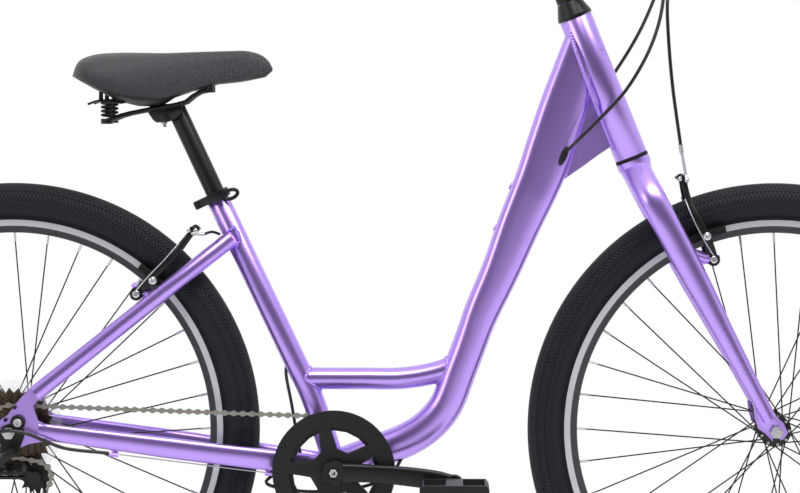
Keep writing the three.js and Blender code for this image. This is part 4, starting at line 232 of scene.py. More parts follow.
def turned(profile: Table, centre: np.ndarray, axis: np.ndarray, sides: int) -> np.ndarray:
    """A profile of radius and height turned about an axis: centre + axis h + r (side cos + other sin).

    Args:
        profile: Rows of radius and height in millimetres.
        centre: Where height is 0.
        axis: The axis.
        sides: Steps round.
    Returns:
        A grid of points, profile rows by sides.
    """
    rows = np.array(profile, float) * MM
    axis = unit(np.asarray(axis, float))
    side = unit(np.cross(axis, Z if abs(axis[2]) < ALONG else X))
    other = np.cross(axis, side)
    angle = angles(sides)
    ring = np.cos(angle)[:, None] * side + np.sin(angle)[:, None] * other
    return np.asarray(centre) + rows[:, 1, None, None] * axis + rows[:, 0, None, None] * ring[None]


@dataclass
class Shape:
    """Points, faces, a finish number and a UV place for each point, gathered before they become a mesh."""

    points: list[np.ndarray] = field(default_factory=list)
    faces: list[np.ndarray] = field(default_factory=list)
    kinds: list[np.ndarray] = field(default_factory=list)
    uvs: list[np.ndarray] = field(default_factory=list)
    total: int = 0

    def grid(self, grid: np.ndarray, loop: bool = False, caps: bool = True, kind: int | np.ndarray = 0,
             uv: np.ndarray | None = None) -> "Shape":
        """Adds a grid whose second way closes on itself. Open ends are drawn in to their middles.

        Args:
            grid: Points, rows by sides.
            loop: Whether the rows close on themselves too.
            caps: Whether open ends are closed.
            kind: Finish number, one or one for each row.
            uv: A place for each point, or None.
        Returns:
            The shape itself.
        """
        if caps and not loop:
            ends = [np.broadcast_to(grid[k].mean(0), grid[k].shape) for k in (0, -1)]
            grid = np.concatenate([ends[0][None], grid, ends[1][None]])
            if uv is not None:
                uv = np.concatenate([uv[:1], uv, uv[-1:]])
        rows, sides = grid.shape[:2]
        i, j = np.meshgrid(np.arange(rows if loop else rows - 1), np.arange(sides), indexing="ij")
        k, n = (i + 1) % rows, (j + 1) % sides
        quads = np.stack([i * sides + j, i * sides + n, k * sides + n, k * sides + j], -1).reshape(-1, 4)
        per_row = np.broadcast_to(kind, rows)[: i.shape[0]] if np.ndim(kind) == 0 else kind[: i.shape[0]]
        self.points.append(grid.reshape(-1, 3))
        self.faces.append(quads + self.total)
        self.kinds.append(np.repeat(per_row, sides))
        self.uvs.append(np.zeros((rows * sides, 2)) if uv is None else uv.reshape(-1, 2))
        self.total += rows * sides
        return self

    def slab(self, outline: np.ndarray, low: float, high: float, kind: int = 0) -> "Shape":
        """Adds a flat plate square to Y, closed by faces that meet at its middle.

        Args:
            outline: Rows of X and Z round a form that its middle sees whole.
            low: Its lower Y in millimetres.
            high: Its higher Y in millimetres.
            kind: Finish number.
        Returns:
            The shape itself.
        """
        flat = np.asarray(outline, float)
        rings = np.stack([np.c_[flat[:, 0], np.full(len(flat), y * MM), flat[:, 1]] for y in (low, high)])
        return self.grid(rings, kind=kind)

    def mesh(self, name: str, sharp: float) -> bpy.types.Mesh:
        """Makes the mesh, with doubles merged and faces pointing out.

        Args:
            name: The mesh's name.
            sharp: Edges bent by more than this many degrees stay sharp.
        Returns:
            The mesh.
        """
        points, faces = np.concatenate(self.points), np.concatenate(self.faces)
        mesh = bpy.data.meshes.new(name)
        mesh.vertices.add(len(points))
        mesh.vertices.foreach_set("co", points.astype(np.float32).ravel())
        mesh.loops.add(faces.size)
        mesh.loops.foreach_set("vertex_index", faces.astype(np.int32).ravel())
        mesh.polygons.add(len(faces))
        mesh.polygons.foreach_set("loop_start", np.arange(0, faces.size, 4, dtype=np.int32))
        mesh.polygons.foreach_set("material_index", np.concatenate(self.kinds).astype(np.int32))
        layer = mesh.uv_layers.new(name="place")
        layer.uv.foreach_set("vector", np.concatenate(self.uvs)[faces.ravel()].astype(np.float32).ravel())
        mesh.update(calc_edges=True)
        work = bmesh.new()
        work.from_mesh(mesh)
        bmesh.ops.remove_doubles(work, verts=work.verts, dist=WELD_DISTANCE)
        bmesh.ops.dissolve_degenerate(work, edges=work.edges, dist=THIN_EDGE)
        bmesh.ops.recalc_face_normals(work, faces=work.faces)
        work.to_mesh(mesh)
        work.free()
        smooth(mesh, sharp)
        return mesh

    def put(self, name: str, body: str | None, finishes: list["Finish"], slot: str, sharp: float,
            nodes: tuple[str, ...] = ()) -> bpy.types.Object:
        """Makes the mesh and puts it into the scene under the same name.

        Args:
            name: The piece's name.
            body: The body that it rides on, or None for a piece that rides on no body.
            finishes: Its finishes, in the order of the finish numbers.
            slot: The record's material slot; not used.
            sharp: Edges bent by more than this many degrees stay sharp.
            nodes: The solids that it stands for.
        Returns:
            The object.
        """
        materials = [finish.material() for finish in finishes]
        return place(self.mesh(name, sharp), name, body, materials, nodes)


def smooth(mesh: bpy.types.Mesh, sharp: float) -> None:
    """Shades a mesh smooth, but for its sharp edges.

    Args:
        mesh: The mesh.
        sharp: Degrees past which an edge stays sharp.
    """
    mesh.polygons.foreach_set("use_smooth", np.ones(len(mesh.polygons), bool))
    mesh.set_sharp_from_angle(angle=math.radians(sharp))


def place(mesh: bpy.types.Mesh, name: str, body: str | None, materials: list[bpy.types.Material],
          nodes: tuple[str, ...]) -> bpy.types.Object:
    """Puts a finished mesh into the scene on its body.

    Args:
        mesh: The mesh, in place.
        name: The piece's name.
        body: The body that it rides on, or None for a piece that rides on no body.
        materials: Its materials, in the order of the finish numbers.
        nodes: The solids that it stands for.
    Returns:
        The object.
    """
    piece = bpy.data.objects.new(name, mesh)
    bpy.context.scene.collection.objects.link(piece)
    if mesh.materials:
        mesh.materials.clear()
    for material in materials:
        mesh.materials.append(material)
    if body:
        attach(piece, body)
    if nodes:
        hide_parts(*nodes)
    log.info("%s: %d faces on %s", name, len(mesh.polygons), body or "two bodies")
    return piece


def soften(piece: bpy.types.Object, width: float, segments: int = 2, from_angle: float = 38) -> None:
    """Rounds a piece's sharp edges with a bevel.

    Args:
        piece: The piece.
        width: The bevel's width in millimetres.
        segments: Its steps.
        from_angle: Edges bent by less than this many degrees are left alone.
    """
    bevel = piece.modifiers.new("rounded_edges", "BEVEL")
    bevel.width = width * MM
    bevel.segments = segments
    bevel.limit_method = "ANGLE"
    bevel.angle_limit = math.radians(from_angle)
    bevel.harden_normals = True


def link(tree: bpy.types.NodeTree, source: bpy.types.NodeSocket, target: bpy.types.NodeSocket) -> None:
    """Joins an output socket to an input socket."""
    tree.links.new(source, target)


def maths(tree: bpy.types.NodeTree, operation: str,
          *values: bpy.types.NodeSocket | float) -> bpy.types.NodeSocket:
    """Adds a Math node.

    Args:
        tree: The node tree.
        operation: The node's operation.
        values: Sockets or numbers for its inputs.
    Returns:
        Its output socket.
    """
    node = tree.nodes.new("ShaderNodeMath")
    node.operation = operation
    for socket, value in zip(node.inputs, values):
        if isinstance(value, (int, float)):
            socket.default_value = value
        else:
            link(tree, value, socket)
    return node.outputs[0]


CLOUD_SHARE = 0.65
GRAIN_SHARE = 0.35
GRAIN_HEIGHT = 0.0004


def surface_group() -> bpy.types.NodeTree:
    """The shared surface detail: clouds and grain vary colour and roughness, and the grain makes the bump.

    Returns:
        The node group, made once.
    """
    found = bpy.data.node_groups.get("surface_detail")
    if found:
        return found
    tree = bpy.data.node_groups.new("surface_detail", "ShaderNodeTree")
    for name, kind in (("Vector", "Vector"), ("Light", "Color"), ("Dark", "Color"), ("Grain", "Float"),
                       ("Roughness", "Float"), ("Spread", "Float"), ("Bump", "Float"), ("Cloud", "Float")):
        tree.interface.new_socket(name=name, in_out="INPUT", socket_type=f"NodeSocket{kind}")
    for name, kind in (("Color", "Color"), ("Roughness", "Float"), ("Normal", "Vector")):
        tree.interface.new_socket(name=name, in_out="OUTPUT", socket_type=f"NodeSocket{kind}")
    given, made = tree.nodes.new("NodeGroupInput"), tree.nodes.new("NodeGroupOutput")
    fine, broad = (tree.nodes.new("ShaderNodeTexNoise") for _ in range(2))
    link(tree, given.outputs["Vector"], fine.inputs["Vector"])
    link(tree, given.outputs["Vector"], broad.inputs["Vector"])
    link(tree, given.outputs["Grain"], fine.inputs["Scale"])
    link(tree, given.outputs["Cloud"], broad.inputs["Scale"])
    fine.inputs["Detail"].default_value = 4
    broad.inputs["Detail"].default_value = 3
    mix = tree.nodes.new("ShaderNodeMix")
    mix.data_type = "RGBA"
    share = maths(tree, "ADD", maths(tree, "MULTIPLY", broad.outputs["Fac"], CLOUD_SHARE),
                  maths(tree, "MULTIPLY", fine.outputs["Fac"], GRAIN_SHARE))
    link(tree, share, mix.inputs["Factor"])
    link(tree, given.outputs["Light"], mix.inputs["A"])
    link(tree, given.outputs["Dark"], mix.inputs["B"])
    link(tree, mix.outputs["Result"], made.inputs["Color"])
    spread = maths(tree, "MULTIPLY", maths(tree, "SUBTRACT", share, 0.5), given.outputs["Spread"])
    link(tree, maths(tree, "ADD", given.outputs["Roughness"], spread), made.inputs["Roughness"])
    bump = tree.nodes.new("ShaderNodeBump")
    bump.inputs["Distance"].default_value = GRAIN_HEIGHT
    link(tree, given.outputs["Bump"], bump.inputs["Strength"])
    link(tree, fine.outputs["Fac"], bump.inputs["Height"])
    link(tree, bump.outputs["Normal"], made.inputs["Normal"])
    return tree


class Pattern(Enum):
    """A pattern that stands on top of a finish's grain."""

    NONE = "none"
    GRAIN = "leather grain"
    TREAD = "tread"
    RIBS = "ribs"


@dataclass(frozen=True)
class Leather:
    """Cells between creases: 1 on a cell, 0 at its edge. Depth is in metres."""

    cells_per_metre: float = 620
    steepness: float = 4
    depth: float = 0.00022

    def height(self, tree: bpy.types.NodeTree, where: bpy.types.Node) -> bpy.types.NodeSocket:
        """Adds the nodes: the distance to a cell's edge, made steeper and cut off at 1.

        Args:
            tree: The material's nodes.
            where: Its Texture Coordinate node.
        Returns:
            The height, from 0 to 1.
        """
        cells = tree.nodes.new("ShaderNodeTexVoronoi")
        cells.feature = "DISTANCE_TO_EDGE"
        cells.inputs["Scale"].default_value = self.cells_per_metre
        link(tree, where.outputs["Object"], cells.inputs["Vector"])
        return maths(tree, "MINIMUM", maths(tree, "MULTIPLY", cells.outputs["Distance"], self.steepness), 1)


@dataclass(frozen=True)
class Tread:
    """Slanting blocks between the grooves round a tyre. Lengths are in millimetres, depth in metres."""

    band: float = 6.5
    pitch: float = 6.0
    slant: float = 0.16
    block_steepness: float = 4.2
    groove_steepness: float = 1.1
    edge: float = 51.0
    beyond: float = 0.7
    depth: float = 0.0016

    def height(self, tree: bpy.types.NodeTree, where: bpy.types.Node) -> bpy.types.NodeSocket:
        """Adds the nodes: blocks repeat along the tyre, slanted within each band, and bands end in grooves.
        Past the tread's edge the height is constant.

        Args:
            tree: The material's nodes.
            where: Its Texture Coordinate node.
        Returns:
            The height, from 0 to 1.
        """
        parts = tree.nodes.new("ShaderNodeSeparateXYZ")
        link(tree, where.outputs["UV"], parts.inputs[0])
        around, across = parts.outputs[0], parts.outputs[1]
        zigzag = maths(tree, "PINGPONG", across, self.band)
        wave = maths(tree, "FRACT", maths(tree, "ADD", maths(tree, "DIVIDE", around, self.pitch),
                                          maths(tree, "MULTIPLY", zigzag, self.slant)))
        rise = maths(tree, "MULTIPLY", maths(tree, "PINGPONG", wave, 0.5), self.block_steepness)
        blocks = maths(tree, "SMOOTH_MIN", rise, 1, 0.25)
        bands = maths(tree, "MINIMUM", maths(tree, "MULTIPLY", zigzag, self.groove_steepness), 1)
        inside = maths(tree, "LESS_THAN", maths(tree, "ABSOLUTE", across), self.edge)
        outside = maths(tree, "SUBTRACT", 1.0, inside)
        return maths(tree, "ADD", maths(tree, "MULTIPLY", maths(tree, "MULTIPLY", blocks, bands), inside),
                     maths(tree, "MULTIPLY", outside, self.beyond))


@dataclass(frozen=True)
class Ribs:
    """Ribs round a grip. Their half pitch is in millimetres, depth in metres."""

    half_pitch: float = 2.2
    steepness: float = 0.9
    depth: float = 0.0009

    def height(self, tree: bpy.types.NodeTree, where: bpy.types.Node) -> bpy.types.NodeSocket:
        """Adds the nodes: a wave along the grip, made steeper and cut off at 1.

        Args:
            tree: The material's nodes.
            where: Its Texture Coordinate node.
        Returns:
            The height, from 0 to 1.
        """
        parts = tree.nodes.new("ShaderNodeSeparateXYZ")
        link(tree, where.outputs["UV"], parts.inputs[0])
        wave = maths(tree, "PINGPONG", parts.outputs[0], self.half_pitch)
        return maths(tree, "MINIMUM", maths(tree, "MULTIPLY", wave, self.steepness), 1)


RELIEFS: dict[Pattern, Leather | Tread | Ribs] = {Pattern.GRAIN: Leather(), Pattern.TREAD: Tread(),
                                                  Pattern.RIBS: Ribs()}


@dataclass(frozen=True)
class Finish:
    """One surface finish: two near colours, its gloss, its grain and the pattern on it."""

    name: str
    light: tuple[float, float, float]
    dark: tuple[float, float, float]
    roughness: float
    metallic: float = 0.0
    coat: float = 0.0
    grain: float = 900.0
    cloud: float = 9.0
    spread: float = 0.12
    bump: float = 0.12
    pattern: Pattern = Pattern.NONE
    alpha: float = 1.0
    shine: float = 0.5
    coat_roughness: float = 0.08
    # Share of the dark colour that a pattern's hollows take on as painted shade.
    hollow_shade: float = 0.3

    def material(self) -> bpy.types.Material:
        """The finish as a node material, made once.

        Returns:
            The material.
        """
        found = bpy.data.materials.get(self.name)
        if found:
            return found
        made = bpy.data.materials.new(self.name)
        made.use_nodes = True
        tree = made.node_tree
        shader = tree.nodes["Principled BSDF"]
        where = tree.nodes.new("ShaderNodeTexCoord")
        detail = tree.nodes.new("ShaderNodeGroup")
        detail.node_tree = surface_group()
        link(tree, where.outputs["Object"], detail.inputs["Vector"])
        detail.inputs["Light"].default_value = (*self.light, 1)
        detail.inputs["Dark"].default_value = (*self.dark, 1)
        for name, value in (("Grain", self.grain), ("Cloud", self.cloud), ("Roughness", self.roughness),
                            ("Spread", self.spread), ("Bump", self.bump)):
            detail.inputs[name].default_value = value
        link(tree, detail.outputs["Color"], shader.inputs["Base Color"])
        link(tree, detail.outputs["Roughness"], shader.inputs["Roughness"])
        link(tree, detail.outputs["Normal"], shader.inputs["Normal"])
        for name, value in (("Metallic", self.metallic), ("Coat Weight", self.coat),
                            ("Coat Roughness", self.coat_roughness), ("Specular IOR Level", self.shine),
                            ("Alpha", self.alpha)):
            shader.inputs[name].default_value = value
        if self.pattern is not Pattern.NONE:
            self.add_pattern(tree, where, detail, shader)
        return made

    def add_pattern(self, tree: bpy.types.NodeTree, where: bpy.types.Node, detail: bpy.types.Node,
                    shader: bpy.types.Node) -> None:
        """Lays the pattern's height over the grain's bump, and paints shade into its hollows: where the
        height is low, the colour goes towards a darker copy of the dark colour.

        Args:
            tree: The material's nodes.
            where: Its Texture Coordinate node.
            detail: Its surface detail group.
            shader: Its shader.
        """
        relief = RELIEFS[self.pattern]
        height = relief.height(tree, where)
        bump = tree.nodes.new("ShaderNodeBump")
        bump.inputs["Distance"].default_value = relief.depth
        bump.inputs["Strength"].default_value = 1
        link(tree, height, bump.inputs["Height"])
        link(tree, detail.outputs["Normal"], bump.inputs["Normal"])
        link(tree, bump.outputs["Normal"], shader.inputs["Normal"])
        # Painted shade: the lower the pattern's height, the darker the colour, standing in for shade in the
        # hollows.
        mix = tree.nodes.new("ShaderNodeMix")
        mix.data_type = "RGBA"
        link(tree, height, mix.inputs["Factor"])
        mix.inputs["A"].default_value = (*(c * self.hollow_shade for c in self.dark), 1)
        link(tree, detail.outputs["Color"], mix.inputs["B"])
        link(tree, mix.outputs["Result"], shader.inputs["Base Color"])


PAINT = Finish("lilac_paint", (0.53, 0.35, 0.90), (0.45, 0.28, 0.82), roughness=0.3, metallic=0.88, coat=0.25,
               grain=500, cloud=5, spread=0.03, bump=0.0)
WELD = Finish("painted_weld", (0.50, 0.33, 0.88), (0.40, 0.24, 0.76), roughness=0.38, metallic=0.6, coat=0.2,
              grain=300, cloud=20, spread=0.05, bump=0.03)
BLACK = Finish("satin_black_metal", (0.010, 0.010, 0.011), (0.005, 0.005, 0.006), roughness=0.36, coat=0.06,
               grain=1800, cloud=14, bump=0.05, shine=0.28)
PLASTIC = Finish("moulded_black", (0.013, 0.013, 0.015), (0.007, 0.007, 0.008), roughness=0.46,
                 grain=1500, cloud=18, spread=0.16, bump=0.15, shine=0.3)
GRIP = Finish("grip_rubber", (0.018, 0.018, 0.020), (0.010, 0.010, 0.011), roughness=0.72,
              grain=1300, cloud=30, spread=0.1, bump=0.3, pattern=Pattern.RIBS, shine=0.25)
RUBBER = Finish("pad_rubber", (0.016, 0.016, 0.017), (0.009, 0.009, 0.010), roughness=0.8,
                grain=1100, cloud=40, spread=0.1, bump=0.3, shine=0.2)
TYRE = Finish("tyre_rubber", (0.017, 0.020, 0.026), (0.008, 0.010, 0.014), roughness=0.62,
              grain=900, cloud=10, bump=0.2, pattern=Pattern.TREAD, shine=0.22)
VINYL = Finish("saddle_vinyl", (0.060, 0.061, 0.070), (0.038, 0.039, 0.047), roughness=0.44,
               grain=1400, cloud=12, pattern=Pattern.GRAIN, shine=0.4)
STEEL = Finish("zinc_steel", (0.66, 0.67, 0.68), (0.46, 0.47, 0.49), roughness=0.32, metallic=0.85,
               grain=1600, cloud=60, spread=0.2, bump=0.08)
TRACK = Finish("brake_track", (0.66, 0.67, 0.70), (0.50, 0.51, 0.54), roughness=0.4, metallic=0.45,
               grain=2200, cloud=40, spread=0.16, bump=0.08)
RIM_BLACK = Finish("rim_black", (0.060, 0.062, 0.070), (0.040, 0.041, 0.047), roughness=0.42, metallic=0.3,
                   coat=0.05, grain=1600, cloud=12, spread=0.1, bump=0.06, shine=0.35)
COGS = Finish("brown_steel", (0.15, 0.115, 0.075), (0.045, 0.036, 0.028), roughness=0.42, metallic=0.85,
              grain=1500, cloud=70, spread=0.24, bump=0.15)
CHAIN = Finish("chain_steel", (0.15, 0.145, 0.14), (0.05, 0.048, 0.046), roughness=0.34, metallic=0.9,
               grain=1400, cloud=90, spread=0.24)
CLEAR = Finish("clear_disc", (0.86, 0.88, 0.9), (0.8, 0.82, 0.85), roughness=0.2, coat=0.3,
               grain=1200, cloud=20, spread=0.05, bump=0.03, alpha=0.16)
SHEATH = Finish("cable_sheath", (0.009, 0.009, 0.010), (0.005, 0.005, 0.006), roughness=0.34, coat=0.05,
                grain=1500, cloud=40, spread=0.1, bump=0.06, shine=0.25)
FLOOR = Finish("pale_floor", (0.86, 0.86, 0.86), (0.83, 0.83, 0.83), roughness=0.7,
               grain=60, cloud=2, spread=0.05, bump=0.02)


def point(x: float, y: float, z: float) -> np.ndarray:
    """A point given in millimetres, in metres."""
    return np.array([x, y, z], float) * MM


@dataclass(frozen=True)
class Layout:
    """The points and directions that the sub-assemblies share, from the bike's own sizes in millimetres."""

    wheelbase: float = 1076
    wheel_radius: float = 348
    head_angle: float = 68
    head_length: float = 211
    fork_length: float = 433.4
    rake: float = 43
    seat_angle: float = 64.6
    seat_length: float = 424
    seat_offset: float = 14
    chainstay: float = 458
    drop: float = 56.5
    dropout_reach: float = 60

    @property
    def rear_axle(self) -> np.ndarray:
        """The rear wheel's centre."""
        return point(-self.wheelbase / 2, 0, self.wheel_radius)

    @property
    def front_axle(self) -> np.ndarray:
        """The front wheel's centre."""
        return point(self.wheelbase / 2, 0, self.wheel_radius)

    @property
    def bracket(self) -> np.ndarray:
        """The bottom bracket's centre."""
        reach = math.sqrt(self.chainstay**2 - self.drop**2)
        return self.rear_axle + point(reach, 0, -self.drop)

    @property
    def steer_up(self) -> np.ndarray:
        """Up along the steering axis."""
        a = math.radians(self.head_angle)
        return np.array([-math.cos(a), 0, math.sin(a)])

    @property
    def seat_up(self) -> np.ndarray:
        """Up along the seat tube."""
        a = math.radians(self.seat_angle)
        return np.array([-math.cos(a), 0, math.sin(a)])

    def steer(self, fore: float, up: float, y: float = 0) -> np.ndarray:
        """A point by the steering axis.

        Args:
            fore: Millimetres ahead of it.
            up: Millimetres along it, from the foot of the axle's square on to it.
            y: Millimetres to the left.
        Returns:
            The point.
        """
        way = np.array([self.steer_up[2], 0, -self.steer_up[0]])
        return self.front_axle - way * self.rake * MM + self.steer_up * up * MM + way * fore * MM + Y * y * MM

    def head(self, fore: float, up: float, y: float = 0) -> np.ndarray:
        """A point by the head tube.

        Args:
            fore: Millimetres ahead of its axis.
            up: A share of its length, from its foot.
            y: Millimetres to the left.
        Returns:
            The point.
        """
        return self.steer(fore, self.fork_length + up * self.head_length, y)

    def seat(self, fore: float, up: float, y: float = 0) -> np.ndarray:
        """A point by the seat tube's axis.

        Args:
            fore: Millimetres ahead of it.
            up: Millimetres along it, from beside the bottom bracket.
            y: Millimetres to the left.
        Returns:
            The point.
        """
        way = np.array([self.seat_up[2], 0, -self.seat_up[0]])
        return self.bracket + way * (self.seat_offset + fore) * MM + self.seat_up * up * MM + Y * y * MM

    def dropout(self, fore: float, up: float) -> np.ndarray:
        """A point on the rear dropout, in shares of its reach from the axle."""
        return self.rear_axle + point(fore * self.dropout_reach, 0, up * self.dropout_reach)


AT = Layout()


def bead(seam: np.ndarray, radius: float, ripple: float, pitch: float, sides: int = 10) -> np.ndarray:
    """A weld bead: a closed tube along a seam, of radius r (1 + ripple (|sin| - 1/2)), one scale each pitch.

    Args:
        seam: Points round the seam.
        radius: Its radius.
        ripple: How much the scales stand out, as a share.
        pitch: Length of a scale.
        sides: Points in a ring.
    Returns:
        A grid of points whose rows close on themselves.
    """
    radius, pitch = radius * MM, pitch * MM
    closed = np.vstack([seam, seam[:1]])
    length = run_along(closed)
    count = max(24, int(length[-1] / pitch) * 5)
    s = np.linspace(0, length[-1], count, endpoint=False)
    line = np.stack([np.interp(s, length, closed[:, k]) for k in range(3)], 1)
    tangent = unit(np.roll(line, -1, 0) - np.roll(line, 1, 0))
    out = unit(line - line.mean(0))
    out = unit(out - tangent * (out * tangent).sum(1, keepdims=True))
    other = np.cross(tangent, out)
    angle = angles(sides)
    r = radius * (1 + ripple * (np.abs(np.sin(np.pi * s / pitch)) - 0.5))
    turn = np.cos(angle)[None, :, None] * out[:, None] + np.sin(angle)[None, :, None] * other[:, None]
    return line[:, None] + r[:, None, None] * turn


def ring_on_tube(foot: np.ndarray, way: np.ndarray, r: float, axis_at: np.ndarray, axis: np.ndarray,
                 big: float) -> np.ndarray:
    """The seam where a tube meets a larger round one: each point of the small ring runs along the small axis
    until it is the large radius away from the large axis.

    Args:
        foot: A point on the small tube's axis, outside the large one.
        way: From there towards the large tube.
        r: The small tube's radius.
        axis_at: A point on the large tube's axis.
        axis: The large tube's direction.
        big: The large tube's radius.
    Returns:
        Points round the seam.
    """
    way, axis = unit(way), unit(axis)
    side = unit(np.cross(way, Y if abs(way[1]) < ALONG else Z))
    other = np.cross(way, side)
    angle = angles(64)[:, None]
    ring = foot + r * MM * (np.cos(angle) * side + np.sin(angle) * other)
    d = ring - axis_at
    flat = d - (d @ axis)[:, None] * axis
    slope = way - (way @ axis) * axis
    qa, qb = slope @ slope, 2 * flat @ slope
    qc = (flat * flat).sum(1) - (big * MM) ** 2
    root = np.sqrt(np.maximum(qb**2 - 4 * qa * qc, 0))
    return ring + ((-qb - root) / (2 * qa))[:, None] * way


@dataclass
class FrameTubes:
    """The welded frame: head, down, seat and brace tubes, the stays' skins, and the small parts on them."""

    down_line: Table = field(default_factory=lambda: [
        (0, 0), (0.149, 0.034), (0.294, 0.068), (0.376, 0.1), (0.4425, 0.1466), (0.5016, 0.2341),
        (0.5384, 0.2915), (0.5824, 0.3622), (0.6627, 0.468), (0.735, 0.574), (0.823, 0.695), (0.9035, 0.838),
        (1, 1)])
    down_depth: Table = field(default_factory=lambda: [
        (0, 0.7), (0.55, 0.7), (0.66, 0.78), (0.76, 0.89), (0.86, 1), (0.93, 0.97), (1, 0.9)])
    down_width: Table = field(default_factory=lambda: [(0, 1), (0.55, 1), (0.8, 1.04), (1, 0.9)])
    down_corner: Table = field(default_factory=lambda: [(0, 2.2), (0.5, 2.4), (0.8, 3.4), (1, 3)])
    gusset: Table = field(default_factory=lambda: [
        (-0.07, 0.42), (-0.07, 0.12), (-0.2, 0.093), (-0.33, 0.06), (-0.46, 0.03), (-0.56, 0.02),
        (-0.66, 0.12), (-0.5, 0.36), (-0.34, 0.6), (-0.16, 0.72)])
    weld_out: Table = field(default_factory=lambda: [
        (0, 13.4), (0.3, 13.4), (0.42, 22.6), (0.8, 22.6), (0.92, 17), (1, 14)])
    weld_fore: Table = field(default_factory=lambda: [(0, -19.6), (0.42, -20.2), (0.8, -18), (1, -14)])
    rib: Table = field(default_factory=lambda: [(275, 812), (264, 778), (254, 746), (243, 707)])
    brace_line: Table = field(default_factory=lambda: [
        (0, 0), (0.35, 0), (0.6, 0.02), (0.8, 0.35), (1, 1.05)])
    chainstay_out: Table = field(default_factory=lambda: [
        (0, 0.33), (0.17, 0.44), (0.34, 0.62), (0.62, 0.8), (1, 1)])
    chainstay_depth: Table = field(default_factory=lambda: [(0, 1.03), (0.7, 0.99), (1, 0.76)])
    chainstay_width: Table = field(default_factory=lambda: [(0, 1), (0.2, 0.9), (0.7, 1), (1, 0.6)])
    seatstay_out: Table = field(default_factory=lambda: [
        (0, 0.24), (0.14, 0.46), (0.3, 0.64), (0.6, 0.76), (1, 1)])
    down_half_depth: float = 34.5
    down_half_width: float = 23
    down_low_radius: float = 24.2
    down_start: float = 0.02
    down_top: float = 0.816
    gusset_half: float = 8
    rib_half: float = 8.6
    seat_radius: float = 15.9
    seat_bore: float = 13.9
    seat_bend: float = 144
    head_radius: float = 23.5
    head_bore: float = 17.5
    shell_radius: float = 20
    shell_bore: float = 9.1
    shell_half: float = 34
    brace_radius: float = 15.5
    brace_height: float = 127
    brace_rise: float = 0.36
    chainstay_half_depth: float = 15
    chainstay_half_width: float = 8.5
    seatstay_half_depth: float = 11.7
    seatstay_half_width: float = 10.3
    seatstay_up: float = 357.5
    stay_y: float = 70.5

    def down_curve(self) -> Curve:
        """The down tube's centre line, from the bottom bracket to the head tube."""
        top, start = AT.head(0, self.down_top), AT.bracket
        rows = np.array(self.down_line)
        return Curve(np.c_[start[0] + rows[:, 0] * (top[0] - start[0]), np.zeros(len(rows)),
                           start[2] + rows[:, 1] * (top[2] - start[2])])

    def brace_curve(self) -> Curve:
        """The brace tube's centre line, from the seat tube to the down tube."""
        up = (self.brace_height + (AT.bracket - AT.seat(0, 0))[2] / MM) / AT.seat_up[2]
        start, rows = AT.seat(0, up), np.array(self.brace_line)
        reach = self.down_curve().spot(0.5)[0] - start[0]
        rise = 2 * self.down_half_depth * self.brace_rise * MM
        return Curve(np.c_[start[0] + rows[:, 0] * reach, np.zeros(len(rows)), start[2] + rows[:, 1] * rise])

    def head_and_down(self) -> None:
        """Builds the head tube, the down tube and the gusset behind it."""
        curve, r, high = self.down_curve(), self.head_radius, AT.head_length
        t = curve.even(150) * (1 - self.down_start) + self.down_start
        shape = Shape().grid(sections(curve, t, self.down_half_depth * blend(self.down_depth, t),
                                      self.down_half_width * blend(self.down_width, t),
                                      blend(self.down_corner, t), 48))
        shape.grid(turned([(self.head_bore, 0), (r * 0.97, 0), (r, 0.8), (r, high - 0.8), (r * 0.97, high),
                           (self.head_bore, high)], AT.head(0, 0), AT.steer_up, 64), loop=True)
        edge = np.array([AT.head(fore * high, up) for fore, up in self.gusset])
        shape.slab(edge[:, [0, 2]], -self.gusset_half, self.gusset_half)
        shape.put("head_and_down_tubes", "frame", [PAINT], "frame_paint", sharp=44,
                  nodes=("head_and_down_tube",))

    def head_welds(self) -> None:
        """Builds the weld between head and down tube, and the one round the gusset's foot."""
        ups = np.linspace(0.93, 0.09, 60)
        places = list(zip(blend(self.weld_fore, ups), ups, blend(self.weld_out, ups)))
        right, left = ([AT.head(fore, up, side.value * y) for fore, up, y in places] for side in Side)
        seams = Shape()
        seams.grid(bead(np.array(right + left[::-1]), radius=2.7, ripple=0.28, pitch=4.4), loop=True)
        right, left = ([point(x, side.value * self.rib_half, z) for x, z in self.rib] for side in Side)
        seams.grid(bead(np.array(right + left[::-1]), radius=3.0, ripple=0.28, pitch=4.4), loop=True)
        seams.put("head_tube_weld", "frame", [WELD], "frame_paint", sharp=70)

    def seat_and_shell(self) -> None:
        """Builds the seat tube, bent at its foot, the bottom bracket shell and the brace tube."""
        r, top, shell, half = self.seat_radius, AT.seat_length, self.shell_radius, self.shell_half
        shape = Shape().grid(turned([(self.seat_bore, self.seat_bend), (r, self.seat_bend), (r, top - 0.6),
                                     (r * 0.97, top), (self.seat_bore, top)], AT.seat(0, 0), AT.seat_up, 48),
                             loop=True)
        foot = np.array([AT.bracket, point(-92, 0, 321), AT.seat(0, 110), AT.seat(0, 160)])
        shape.grid(pipe(foot, r, 48, 40))
        shape.grid(turned([(self.shell_bore, -half), (shell - 0.7, -half), (shell, 0.8 - half),
                           (shell, half - 0.8), (shell - 0.7, half), (self.shell_bore, half)],
                          AT.bracket, Y, 64), loop=True)
        shape.grid(pipe(self.brace_curve().points, self.brace_radius, 40, 60))
        shape.put("seat_tube_and_shell", "frame", [PAINT], "frame_paint", sharp=40, nodes=("seat_tube",))

